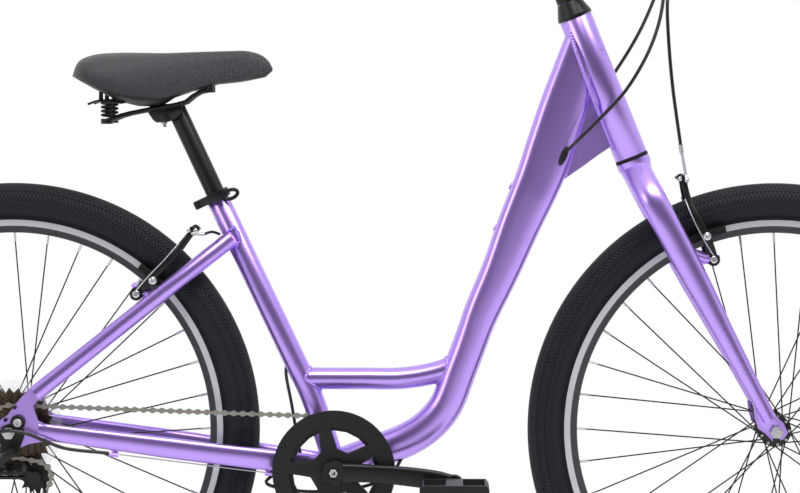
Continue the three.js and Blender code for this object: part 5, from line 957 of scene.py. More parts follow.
    def seat_welds(self) -> None:
        """Builds the welds at the brace tube's two ends and at the seat tube's foot."""
        brace, down = self.brace_curve(), self.down_curve()
        near, far = brace.spot(0.72), brace.spot(0.84)
        seams = Shape()
        for seam, radius in (
                (ring_on_tube(brace.points[0] + X * 0.06, -X, self.brace_radius, AT.seat(0, 0), AT.seat_up,
                              self.seat_radius), 2.2),
                (ring_on_tube(near, far - near, self.brace_radius, down.spot(0.5),
                              down.tangent(np.array([0.5]))[0], self.down_low_radius), 2.4),
                (ring_on_tube(AT.bracket + AT.seat_up * 0.07 + X * 0.0127, -AT.seat_up, self.seat_radius,
                              AT.bracket, Y, self.shell_radius), 2.2)):
            seams.grid(bead(seam, radius, ripple=0.35, pitch=4), loop=True)
        seams.put("seat_tube_welds", "frame", [WELD], "frame_paint", sharp=70)

    def stay_curve(self, side: Side, start: np.ndarray, end: np.ndarray, out: Table) -> Curve:
        """A stay's centre line.

        Args:
            side: Which side.
            start: Its front end on the bike's middle.
            end: Its end at the dropout.
            out: How far it stands out at shares of its length, as shares of the dropout's Y.
        Returns:
            The line.
        """
        rows = np.array(out)
        line = start + rows[:, :1] * (end - start)
        line[:, 1] = side.value * rows[:, 1] * self.stay_y * MM
        return Curve(line)

    def stays(self, side: Side) -> None:
        """Builds the smooth skins of one side's two stays over the stays' solids, and the seatstay's weld.

        Args:
            side: Which side.
        """
        word = side.name.lower()
        curve = self.stay_curve(side, AT.bracket + point(-12, 0, 3), AT.dropout(0.667, 0.033),
                                self.chainstay_out)
        t = curve.even(80)
        depth = self.chainstay_half_depth * blend(self.chainstay_depth, t)
        width = self.chainstay_half_width * blend(self.chainstay_width, t)
        Shape().grid(sections(curve, t, depth, width, 2.3, 32)).put(
            f"chainstay_skin_{word}", "frame", [PAINT], "frame_paint", sharp=50)
        curve = self.stay_curve(side, AT.seat(-self.seat_radius * 0.38, self.seatstay_up),
                                AT.dropout(0.6, 0.9), self.seatstay_out)
        t = curve.even(80)
        Shape().grid(sections(curve, t, self.seatstay_half_depth, self.seatstay_half_width, 2.0, 32)).put(
            f"seatstay_skin_{word}", "frame", [PAINT], "frame_paint", sharp=50)
        near, end = curve.spot(0.06), curve.spot(0.0)
        seam = ring_on_tube(near, end - near, 10.6, AT.seat(0, 357), AT.seat_up, self.seat_radius)
        Shape().grid(bead(seam, radius=1.7, ripple=0.3, pitch=3.8), loop=True).put(
            f"seatstay_weld_{word}", "frame", [WELD], "frame_paint", sharp=70)

    def bottle_bosses(self) -> None:
        """Builds the two bosses behind the down tube, each square to it."""
        shape, fine = Shape(), self.down_curve().at(np.linspace(0, 1, 400))
        for x, z in ((165.2, 691.7), (143.3, 632.6)):
            foot = point(x, 0, z)
            near = fine[np.argmin(np.linalg.norm(fine - foot, axis=1))]
            shape.grid(turned([(4.6, -3), (4.6, 0.8), (4, 1.3), (2.4, 1.3), (2.2, 0.2)], foot, foot - near,
                              24))
        shape.put("bottle_bosses", "frame", [PAINT], "frame_paint", sharp=40)

    def eyelets(self) -> None:
        """Builds the eyelets on the right seatstay and dropout, and the dropout's disc with its bolt."""
        shape = Shape()
        for x, y, z in ((-247.5, -30.5, 611.8), (-529.7, -79.2, 383.7), (-542.8, -79.2, 366.2)):
            shape.grid(turned([(2.6, -5), (2.6, 0), (2.6 * 0.8, 0.5)], point(x, y, z), -Y, 20))
        disc = point(-525.5, -77.5, 362.5)
        shape.grid(turned([(10.4, -3), (10.4, 2.2), (9.6, 3)], disc, -Y, 40))
        shape.grid(turned([(5.8, 3), (5.8, 5.6), (5.0, 6.4), (2.4, 6.4), (2.3, 4)], disc, -Y, 24), kind=1)
        shape.put("stay_eyelets_and_bolt", "frame", [BLACK, STEEL], "black_metal", sharp=40)

    def grommet(self, side: Side) -> None:
        """Builds an oval grommet round a cable port of the down tube: ovals of changing share and height.

        Args:
            side: Which side.
        """
        mouth, way = point(239.8, side.value * 22.6, 734.7), unit(np.array([0.15, side.value, 0.1]))
        long = unit(np.array([0.394, 0, 0.919]))
        across = unit(np.cross(way, long))
        angle = angles(40)[:, None]
        oval = mouth + 14 * MM * np.cos(angle) * long + 4.7 * MM * np.sin(angle) * across
        rings = [mouth + (oval - mouth) * share + way * height * MM
                 for share, height in ((1.0, -2.5), (1.05, 0.6), (0.9, 2.0), (0.5, 2.3))]
        Shape().grid(np.stack(rings)).put(f"cable_grommet_{side.name.lower()}", "frame", [PLASTIC],
                                          "black_plastic", sharp=50)

    def build(self) -> None:
        """Builds the whole frame but its stays' and dropouts' solids, which are dressed."""
        self.head_and_down()
        self.head_welds()
        self.seat_and_shell()
        self.seat_welds()
        for side in Side:
            self.stays(side)
        self.bottle_bosses()
        self.eyelets()
        for side in Side:
            self.grommet(side)


@dataclass
class Fork:
    """The fork's looks over its dressed solid: blades with brake bosses, the crown's sleeve and the seal."""

    spread: Table = field(default_factory=lambda: [
        (-0.04, 0.1), (0.02, 0.55), (0.075, 0.86), (0.14, 0.97), (0.3, 1), (0.6, 1), (0.95, 0.98)])
    depth: Table = field(default_factory=lambda: [
        (0, 1.16), (0.44, 1.1), (0.66, 1.11), (0.744, 1.04), (0.833, 0.86), (0.92, 0.7), (1, 0.58)])
    width: Table = field(default_factory=lambda: [
        (0, 1.14), (0.3, 1.06), (0.667, 1.05), (0.833, 0.92), (1, 0.64)])
    boss: tuple = ((418, 50, 598), (434, 45, 592), (447, 41, 590))
    boss_radius: float = 7.2
    sleeve: tuple = ((0, -40), (17, -40), (18.4, -38.6), (22.4, -13), (24.3, -9), (24.3, 0), (17, 0.1))
    seal: tuple = ((15, 0.2), (23.4, 0.2), (23.9, 1.2), (23.9, 3.6), (23.2, 4.8), (15, 4.8))
    half_depth: float = 17.55
    half_width: float = 13.55
    blade_y: float = 55
    crown_up: float = 402
    seal_up: float = 428.4

    def blade(self, side: Side) -> None:
        """Builds one blade's smooth skin and its brake boss.

        Args:
            side: Which side.
        """
        top, rows = AT.steer(0, self.crown_up), np.array(self.spread)
        line = top + rows[:, :1] * (AT.front_axle - top)
        line[:, 1] = side.value * rows[:, 1] * self.blade_y * MM
        curve = Curve(line)
        t = curve.even(90)
        shape = Shape().grid(sections(curve, t, self.half_depth * blend(self.depth, t),
                                      self.half_width * blend(self.width, t), 2.0, 36))
        shape.grid(pipe(np.array([point(x, side.value * y, z) for x, y, z in self.boss]),
                        self.boss_radius, 24))
        shape.put(f"fork_blade_{side.name.lower()}", "steering", [PAINT], "frame_paint", sharp=50)

    def build(self) -> None:
        """Builds the blades, the crown's sleeve and the seal above it."""
        for side in Side:
            self.blade(side)
        foot = AT.steer(0, self.seal_up)
        Shape().grid(turned(self.sleeve, foot, AT.steer_up, 64)).put(
            "fork_crown", "steering", [PAINT], "frame_paint", sharp=40)
        Shape().grid(turned(self.seal, foot, AT.steer_up, 64), loop=True).put(
            "headset_seal", "steering", [RUBBER], "black_metal", sharp=40)


@dataclass
class Wheel:
    """One wheel: tyre with its tread, rim with bare brake tracks, hub and crossed spokes. In millimetres."""

    centre: np.ndarray
    word: str
    hub_width: float
    right_flange: float
    left_flange: float
    tyre_middle: float = 321
    tyre_half: float = 27
    tyre_flatness: float = 0.86
    bead_radius: float = 299.2
    bead_y: float = 14.8
    rim_radius: float = 298.5
    rim_depth: float = 20.7
    track_depth: float = 10.6
    flange_radius: float = 23
    hub_radius: float = 13.6
    hole_circle: float = 19.8
    spokes: int = 36
    cross: int = 3
    inner: Table = field(default_factory=lambda: [
        (292.2, 11.4), (292.2, 9.0), (316.0, 21.5), (340.0, 14.0), (344.0, 0.0), (340.0, -14.0),
        (316.0, -21.5), (292.2, -9.0), (292.2, -11.4)])

    @property
    def body(self) -> str:
        """The body that the wheel rides on."""
        return f"{self.word}_wheel"

    def tyre(self) -> None:
        """Builds the tyre: a round section closed at its beads, with places in millimetres for the tread."""
        arc = np.linspace(-2.36, 2.36, 73)
        out = np.cos(arc)
        r = self.tyre_middle + self.tyre_half * out * np.where(out > 0, 1.0, self.tyre_flatness)
        y = (self.tyre_half - 0.02) * np.sin(arc)
        low = r < self.bead_radius + 2.3
        r, y = np.where(low, self.bead_radius, r), np.where(low, np.sign(y) * self.bead_y, y)
        inner = np.array(self.inner)
        r, y = np.r_[r, inner[:, 0]], np.r_[y, inner[:, 1]]
        across = np.r_[arc * self.tyre_half, np.full(len(inner), 60.0)]
        around = angles(360)
        ring = np.stack([np.cos(around), np.zeros(360), np.sin(around)], 1)
        grid = self.centre + MM * (ring[:, None] * r[None, :, None] + Y * y[None, :, None])
        length = around * AT.wheel_radius
        uv = np.stack(np.broadcast_arrays(length[:, None], across[None]), -1)
        Shape().grid(grid, loop=True, uv=uv).put(
            f"{self.word}_tyre_treaded", self.body, [TYRE], "tyre", sharp=60, nodes=(f"{self.word}_tyre",))

    def rim(self) -> None:
        """Builds the rim: bare tracks on both sides, a dark inner part and the well for the tyre."""
        outer, inner, track = self.rim_radius, self.rim_radius - self.rim_depth, self.track_depth
        rows = [(outer, 14, 0), (outer - 0.6, 14, 1), (outer - track, 14, 1), (outer - track - 0.3, 13.6, 0),
                (outer - track - 1.8, 13.2, 0), (inner + 4, 8.6, 0), (inner + 1, 6.6, 0), (inner, 4.6, 0),
                (inner, -4.6, 0), (inner + 1, -6.6, 0), (inner + 4, -8.6, 0), (outer - track - 1.8, -13.2, 0),
                (outer - track - 0.3, -13.6, 0), (outer - track, -14, 1), (outer - 0.6, -14, 0),
                (outer, -14, 0), (outer, -12, 0), (outer - 7, -12, 0), (outer - 7, 12, 0), (outer, 12, 0)]
        profile = [(r, y) for r, y, _ in rows]
        kinds = np.array([kind for *_, kind in rows])
        Shape().grid(turned(profile, self.centre, Y, 288), loop=True, kind=kinds).put(
            f"{self.word}_rim_tracked", self.body, [RIM_BLACK, TRACK], "rim_alloy", sharp=30,
            nodes=(f"{self.word}_rim",))

    def hub_half(self, flange: float) -> Table:
        """One side of the hub's profile, from its end in to its middle barrel.

        Args:
            flange: The flange's distance from the wheel's middle.
        Returns:
            Rows of radius and distance from the wheel's middle.
        """
        end, r, hub = self.hub_width / 2 - 5, self.flange_radius, self.hub_radius
        return [(5.4, end), (10, end), (10.4, end - 1), (11.5, flange + 4), (r - 0.6, flange + 1.5),
                (r, flange + 0.9), (r, flange - 0.9), (r - 0.6, flange - 1.5), (hub + 1.9, flange - 3),
                (hub, flange - 7)]

    def spoke(self, shape: Shape, number: int) -> None:
        """Adds one spoke with its nipple and its head. Odd ones go to the left flange.

        Args:
            shape: The shape that it joins.
            number: Its number round the rim.
        """
        pitch = 4 * np.pi / self.spokes
        side = Side.LEFT if number % 2 else Side.RIGHT
        hole = number // 2
        turn = 1 if hole % 2 else -1
        at_hub = hole * pitch + (pitch / 2 if side is Side.LEFT else 0)
        at_rim = at_hub + turn * self.cross * pitch
        flange = self.left_flange if side is Side.LEFT else -self.right_flange
        reach = self.rim_radius - self.rim_depth - 0.3
        start, far = (self.centre + point(r * math.cos(a), y, r * math.sin(a)) for a, r, y in (
            (at_hub, self.hole_circle, flange + turn * 2.0), (at_rim, reach, side.value * 2.8)))
        way = unit(far - start)
        shape.grid(pipe(np.array([start, far - way * 12 * MM]), 1.0, 8))
        shape.grid(pipe(np.array([far - way * 12.5 * MM, far - way * 2 * MM, far]), 1.8, 8), kind=1)
        head = start + Y * (-turn) * 0.4 * MM
        shape.grid(pipe(np.array([head - Y * 1.2 * MM, head + Y * 1.2 * MM]), 2.0, 8), kind=1)

    def hub(self) -> None:
        """Builds the hub shell with its flanges, and the crossed spokes."""
        right = [(r, -y) for r, y in self.hub_half(self.right_flange)]
        left = self.hub_half(self.left_flange)[::-1]
        shape = Shape().grid(turned(right + left, self.centre, Y, 64), loop=True)
        for number in range(self.spokes):
            self.spoke(shape, number)
        shape.put(f"{self.word}_hub_and_spokes", self.body, [BLACK, STEEL], "black_metal", sharp=40,
                  nodes=(f"{self.word}_hub",))

    def build(self) -> None:
        """Builds the whole wheel."""
        self.tyre()
        self.rim()
        self.hub()


@dataclass
class Drivetrain:
    """The chain round chainring, pulleys and third smallest cog, and the guard's ring. In millimetres."""

    pitch: float = 12.7
    line_y: float = -50.0
    ring_teeth: int = 38
    cog_teeth: int = 18
    pulley_teeth: int = 11
    guide_from_axle: tuple[float, float] = (34, -65)
    cage_angle: float = math.radians(-67.70438937052029)
    cage_length: float = 56.0
    plate_half: float = 4.1
    plate_outline: Table = field(default_factory=lambda: [
        (-0.33, 0), (-0.22, 0.78), (0, 1), (0.25, 0.6), (0.5, 0.4), (0.75, 0.6), (1, 1), (1.22, 0.78),
        (1.33, 0), (1.22, -0.78), (1, -1), (0.75, -0.6), (0.5, -0.4), (0.25, -0.6), (0, -1), (-0.22, -0.78)])
    guard_edge: Table = field(default_factory=lambda: [
        (64.2, 1.25), (64.2, -1.25), (66, -1.75), (83, -1.75), (86, -1.2), (86.6, 0), (86, 1.2), (83, 1.45),
        (66, 1.45)])
    rivet_circle: float = 55.6

    def radius(self, teeth: int) -> float:
        """Pitch radius of a sprocket: p / (2 sin(pi / teeth))."""
        return self.pitch / (2 * math.sin(math.pi / teeth))

    def runs(self) -> list[tuple]:
        """Walks round the four sprockets: a straight run to each, then the arc on it, each counted in links.

        Returns:
            Rows of start and end for a straight run, or of centre, radius, start, sweep and turn for an arc,
            each with its links last.
        """
        rear = AT.rear_axle[[0, 2]] / MM
        guide = rear + np.array(self.guide_from_axle)
        tension = guide + self.cage_length * np.array([math.cos(self.cage_angle), math.sin(self.cage_angle)])
        stops = [(AT.bracket[[0, 2]] / MM, self.ring_teeth, 1), (tension, self.pulley_teeth, 1),
                 (guide, self.pulley_teeth, -1), (rear, self.cog_teeth, 1)]
        spans = []
        for (c0, n0, t0), (c1, n1, t1) in zip(stops, stops[1:] + stops[:1]):
            r0, r1 = self.radius(n0), self.radius(n1)
            d = c1 - c0
            distance = float(np.hypot(*d))
            heading = math.atan2(d[1], d[0]) + math.asin((t1 * r1 - t0 * r0) / distance)
            leave, arrive = heading + t0 * math.pi / 2, heading + t1 * math.pi / 2
            run = math.sqrt(distance**2 - (t1 * r1 - t0 * r0) ** 2)
            spans.append((c0 + r0 * np.array([math.cos(leave), math.sin(leave)]),
                          c1 + r1 * np.array([math.cos(arrive), math.sin(arrive)]), leave, arrive, run))
        out = []
        for i, (start, end, _, arrive, run) in enumerate(spans):
            centre, teeth, turn = stops[(i + 1) % 4]
            sweep = (turn * (arrive - spans[(i + 1) % 4][2])) % (2 * math.pi)
            out.append(("straight", start, end, run / self.pitch))
            links = sweep / (2 * math.pi) * teeth
            out.append(("arc", centre, self.radius(teeth), arrive, sweep, turn, links))
        return out

    def pins(self) -> np.ndarray:
        """The chain's pins, a pitch apart round the loop.

        Returns:
            Rows of X and Z.
        """
        rows, done = [], 0.0
        runs = self.runs()
        total = 2 * round(sum(r[-1] for r in runs) / 2)
        for run in runs:
            k = np.arange(math.ceil(done - 1e-4), min(done + run[-1] - 1e-4, total))
            part = ((k - done) / run[-1])[:, None]
            if run[0] == "straight":
                rows.append(run[1] + part * (run[2] - run[1]))
            else:
                angle = run[3] - run[5] * part[:, 0] * run[4]
                rows.append(run[1] + run[2] * np.c_[np.cos(angle), np.sin(angle)])
            done += run[-1]
        return np.vstack(rows)

    def chain(self) -> None:
        """Builds every link: two waisted plates, further out on each second link, and a roller per pin."""
        pins = self.pins()
        plate = np.array(self.plate_outline)
        shape = Shape()
        for i, (a, b) in enumerate(zip(pins, np.roll(pins, -1, 0))):
            way = unit(b - a)
            side = np.array([-way[1], way[0]])
            outline = a + plate[:, :1] * self.pitch * way + plate[:, 1:] * self.plate_half * side
            for edge in (-1, 1):
                middle = self.line_y + edge * (2.6 if i % 2 else 1.6)
                shape.slab(outline * MM, middle - 0.45, middle + 0.45)
            foot = point(a[0], self.line_y, a[1])
            shape.grid(turned([(3.2, -1.1), (3.2, 1.1)], foot, Y, 10))
            shape.grid(turned([(1.7, -3.5), (1.7, 3.5)], foot, Y, 8))
        shape.put("chain_links", "frame", [CHAIN], "chain_steel", sharp=35, nodes=("chain",))

    def guard(self) -> None:
        """Builds the chain guard's smooth outer ring with a rolled edge over its solid, and its rivets."""
        low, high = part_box("chain_guard")
        y = (low[1] + high[1]) / 2 / MM
        profile = [(r, y + h) for r, h in self.guard_edge]
        centre = AT.bracket * np.array([1, 0, 1])
        Shape().grid(turned(profile, centre, Y, 160), loop=True).put(
            "chain_guard_ring", "crank", [PLASTIC], "black_plastic", sharp=30)
        rivets = Shape()
        for k in range(5):
            a = math.radians(36 + 72 * k)
            foot = centre + point(self.rivet_circle * math.cos(a), y, self.rivet_circle * math.sin(a))
            rivets.grid(turned([(0.2, -3.4), (2.6, -3.2), (3.4, -2.2), (3.4, 0)], foot, Y, 20))
        rivets.put("guard_rivets", "crank", [BLACK], "black_metal", sharp=50)

    def build(self) -> None:
        """Builds the chain, the guard's ring and its rivets."""
        self.chain()
        self.guard()


@dataclass
class Saddle:
    """The sprung saddle: padded cover, moulded shell, springs, mounts and post. In millimetres."""

    length: float = 277
    width: float = 205
    depth: float = 80
    top: float = 883.243
    nose: float = -171.49
    widths: Table = field(default_factory=lambda: [
        (0, 0.09), (0.02, 0.14), (0.06, 0.17), (0.14, 0.195), (0.27, 0.22), (0.4, 0.28), (0.5, 0.4),
        (0.6, 0.59), (0.7, 0.78), (0.8, 0.93), (0.88, 1), (0.94, 0.93), (0.975, 0.78), (1, 0.55)])
    crown: Table = field(default_factory=lambda: [
        (0, -0.3), (0.015, -0.2), (0.04, -0.11), (0.08, -0.04), (0.14, 0), (0.35, -0.02), (0.55, -0.045),
        (0.75, -0.035), (0.86, -0.05), (0.9, -0.07), (0.95, -0.12), (0.975, -0.18), (0.99, -0.27), (1, -0.4)])
    seam: Table = field(default_factory=lambda: [
        (0, -0.36), (0.03, -0.45), (0.15, -0.53), (0.3, -0.58), (0.43, -0.72), (0.55, -0.846), (0.66, -0.82),
        (0.75, -0.77), (0.885, -0.616), (1, -0.46)])
    section: Table = field(default_factory=lambda: [
        (0, 0), (0.28, 0.005), (0.52, 0.04), (0.72, 0.12), (0.88, 0.28), (0.97, 0.5), (1, 0.72), (0.975, 0.9),
        (0.93, 1)])
    bulge: Table = field(default_factory=lambda: [
        (0, 3), (0.28, 4), (0.33, 7.5), (0.4, 4), (0.5, 5), (0.58, 13), (0.68, 15.5), (0.8, 13), (0.9, 8),
        (1, 3)])
    plate: tuple = ((-428, 808), (-414, 812.5), (-398, 812.5), (-380, 810), (-366, 816))
    block: tuple = ((-348, 798.5), (-344, 804.5), (-331, 807.5), (-304, 808.5), (-298, 806), (-297.5, 797),
                    (-305, 789), (-316.6, 783), (-334, 781.6), (-339, 785))
    coil_radius: float = 7
    coil_wire: float = 1.7
    coil_turns: float = 3.5
    spring_y: float = 44
    rail_y: float = 17
    post_radius: float = 13.3
    post_inside: float = 92
    post_above: float = 134

    def smoothed(self, table: Table, t: np.ndarray) -> np.ndarray:
        """A table's values rounded over its corners: the mean of nine readings close to each share."""
        near = np.linspace(-0.022, 0.022, 9)[:, None] * np.minimum(1, np.minimum(t, 1 - t) * 14)
        return np.mean([blend(table, np.clip(t + d, 0, 1)) for d in near], axis=0)

    def pad(self) -> None:
        """Builds the padded cover. Each section follows one rounded line, sized by the tables."""
        t = 0.5 - 0.5 * np.cos(np.linspace(0, np.pi, 120))
        top = self.top + self.depth * self.smoothed(self.crown, t)
        seam = self.top + self.depth * self.smoothed(self.seam, t)
        half = self.width / 2 * self.smoothed(self.widths, t)
        rows = np.array(self.section)
        line = Curve(np.c_[rows, np.zeros(len(rows))])
        under = np.c_[np.linspace(0.9, 0.0, 10), np.full(10, 1.0), np.zeros(10)]
        halved = np.vstack([line.at(line.even(44)), under])
        y = np.r_[-halved[:, 0], halved[::-1, 0][1:-1]]
        drop = np.r_[halved[:, 1], halved[::-1, 1][1:-1]]
        grid = np.empty((len(t), len(y), 3))
        grid[..., 0] = (self.nose - t * self.length)[:, None]
        grid[..., 1] = y[None] * half[:, None]
        grid[..., 2] = top[:, None] - drop[None] * (top - seam)[:, None]
        piece = Shape().grid(grid * MM).put(
            "saddle_cover", "seat", [VINYL], "saddle_cover", sharp=75, nodes=("saddle_pad",))

    def springs(self) -> None:
        """Builds each spring as round wire on a helix between its seats: middle + r (cos, sin) + height."""
        for side in Side:
            word = side.name.lower()
            low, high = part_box(f"saddle_spring_{word}")
            middle = (np.array(low) + np.array(high)) / 2
            a = np.linspace(0, 2 * np.pi * self.coil_turns, 240)
            line = np.c_[middle[0] + self.coil_radius * MM * np.cos(a),
                         middle[1] + self.coil_radius * MM * np.sin(a),
                         np.linspace(low[2] + 1.5 * MM, high[2] - 1.5 * MM, 240)]
            Shape().grid(pipe(line, self.coil_wire, 12)).put(
                f"spring_wire_{word}", "seat", [BLACK], "steel", sharp=60, nodes=(f"saddle_spring_{word}",))

    def shell(self) -> None:
        """Builds the moulded shell: it follows the cover's seam and bulges down over the springs."""
        t = np.linspace(0.03, 0.985, 70)
        seam = self.top + self.depth * self.smoothed(self.seam, t)
        half = self.width / 2 * self.smoothed(self.widths, t) * 0.93
        angle = angles(48)
        upper = np.where(np.sin(angle) < 0, 1.0, 0.6)
        grid = np.empty((len(t), len(angle), 3))
        grid[..., 0] = (self.nose - t * self.length)[:, None]
        grid[..., 1] = half[:, None] * np.cos(angle)[None]
        grid[..., 2] = (seam + 1.5)[:, None] + blend(self.bulge, t)[:, None] * (np.sin(angle) * upper)[None]
        Shape().grid(grid * MM).put(
            "saddle_shell", "seat", [PLASTIC], "black_plastic", sharp=60, nodes=("saddle_base",))

    def mounts(self) -> None:
        """Builds the spring plates, their struts and washers, and the rails' front sockets."""
        shape = Shape()
        for side in Side:
            y = side.value * self.spring_y
            line = Curve(np.array([point(x, y, z) for x, z in self.plate]))
            shape.grid(sections(line, np.linspace(0, 1, 30), 1.7, 9, 3.0, 20))
            for x in (-410, -392):
                shape.grid(turned([(3.4, 0), (2.8, 16)], point(x, y, 811), Z, 16))
            shape.grid(turned([(7.5, -2), (9.2, 0), (9.2, 1.6), (6, 3)], point(-401.9, y, 809.5), Z, 28))
            shape.grid(turned([(5.8, -4), (5.8, 9)], point(-259, side.value * self.rail_y, 828), Z, 18))
        shape.put("saddle_mounts", "seat", [BLACK], "black_metal", sharp=45)

    def post(self) -> None:
        """Builds the straight seatpost up to the clamp block."""
        low = AT.seat(0, AT.seat_length - self.post_inside)
        high = AT.seat(2, AT.seat_length + self.post_above)
        r, length = self.post_radius, float(np.linalg.norm(high - low)) / MM
        Shape().grid(turned([(r, 0), (r, length - 2), (r * 0.93, length)], low, high - low, 56)).put(
            "seatpost_tube", "seat", [BLACK], "black_metal", sharp=50, nodes=("seatpost",))

    def clamp(self) -> None:
        """Builds the clamp block, its outline drawn in at both faces, and its bolt."""
        outline = np.array(self.block) * MM
        middle = outline.mean(0)
        rings = [np.insert(middle + (outline - middle) * share, 1, y * MM, axis=1)
                 for y, share in ((-20, 0.8), (-17.5, 1), (17.5, 1), (20, 0.8))]
        Shape().grid(np.stack(rings)).put(
            "saddle_clamp_block", "seat", [BLACK], "black_metal", sharp=40, nodes=("saddle_clamp",))
        profile, down = [(4.6, -2), (4.6, 3.4), (2.4, 3.4), (2.4, 8)], np.array([0.12, 0, -1])
        Shape().grid(turned(profile, point(-325, 0, 783), down, 18)).put(
            "saddle_clamp_bolt", "seat", [STEEL], "steel", sharp=40)

    def build(self) -> None:
        """Builds the saddle and its post; the rails are dressed from their solid."""
        self.pad()
        self.springs()
        self.shell()
        self.mounts()
        self.post()
        self.clamp()


@dataclass
class Cockpit:
    """The handlebar and its grips, drawn along the bar's own line. In millimetres."""

    shares: list[tuple[float, float, float]] = field(default_factory=lambda: [
        (0, 0, 0), (0.11, 0, 0), (0.2, 0.3, 0.02), (0.32, 0.9, 0.05), (0.42, 1, 0.16), (0.7, 0.98, 0.56),
        (1, 0.94, 1)])
    reach: float = 80
    above_head: float = 0.3 + 24 + 0.3 + 20 + 34
    half_width: float = 330
    sweep: float = 62
    rise: float = 62
    clamp_radius: float = 15.9
    end_radius: float = 11.1
    grip_length: float = 127.5
    grip_overhang: float = 2.2
    grip_radius: Table = field(default_factory=lambda: [
        (0, 17.6), (0.02, 19.6), (0.04, 19.4), (0.08, 16.1), (0.5, 17.2), (0.9, 17.2), (0.97, 16.6),
        (1, 13.6)])

    def bar_curve(self, side: Side) -> Curve:
        """Half the bar's line, from the clamp out to the end.

        Args:
            side: Which side.
        Returns:
            The line.
        """
        centre = AT.steer(self.reach, AT.fork_length + AT.head_length + self.above_head)
        rows = np.array(self.shares)
        return Curve(centre + MM * np.c_[-rows[:, 2] * self.sweep, side.value * rows[:, 0] * self.half_width,
                                         rows[:, 1] * self.rise])

    def bar(self) -> None:
        """Builds the bar, thicker at its clamp."""
        right, left = (curve.at(curve.even(70)) for curve in map(self.bar_curve, Side))
        line = np.vstack([right[::-1], left[1:]])
        r = np.interp(np.abs(line[:, 1]), [0.026, 0.03], [self.clamp_radius, self.end_radius])
        Shape().grid(pipe(line, r, 28)).put(
            "handlebar_tube", "steering", [BLACK], "black_metal", sharp=40, nodes=("handlebar",))

    def grip(self, side: Side) -> None:
        """Builds one grip over the bar's end, with places in millimetres for its ribs.

        Args:
            side: Which side.
        """
        curve = self.bar_curve(side)
        path = curve.at(curve.even(260))
        length = run_along(path)
        keep = length > length[-1] - self.grip_length * MM
        path, run = path[keep], length[keep] - length[keep][0]
        path = np.vstack([path, path[-1] + unit(path[-1] - path[-2]) * self.grip_overhang * MM])
        run = np.r_[run, run[-1] + self.grip_overhang * MM]
        r = blend(self.grip_radius, run / run[-1])
        uv = np.stack(np.broadcast_arrays(run[:, None] / MM, np.linspace(0, 1, 32)[None]), -1)
        word = side.name.lower()
        Shape().grid(pipe(path, r, 32), uv=uv).put(
            f"grip_sleeve_{word}", "steering", [GRIP], "grip_rubber", sharp=50, nodes=(f"grip_{word}",))

    def build(self) -> None:
        """Builds the bar and both grips."""
        self.bar()
        for side in Side:
            self.grip(side)


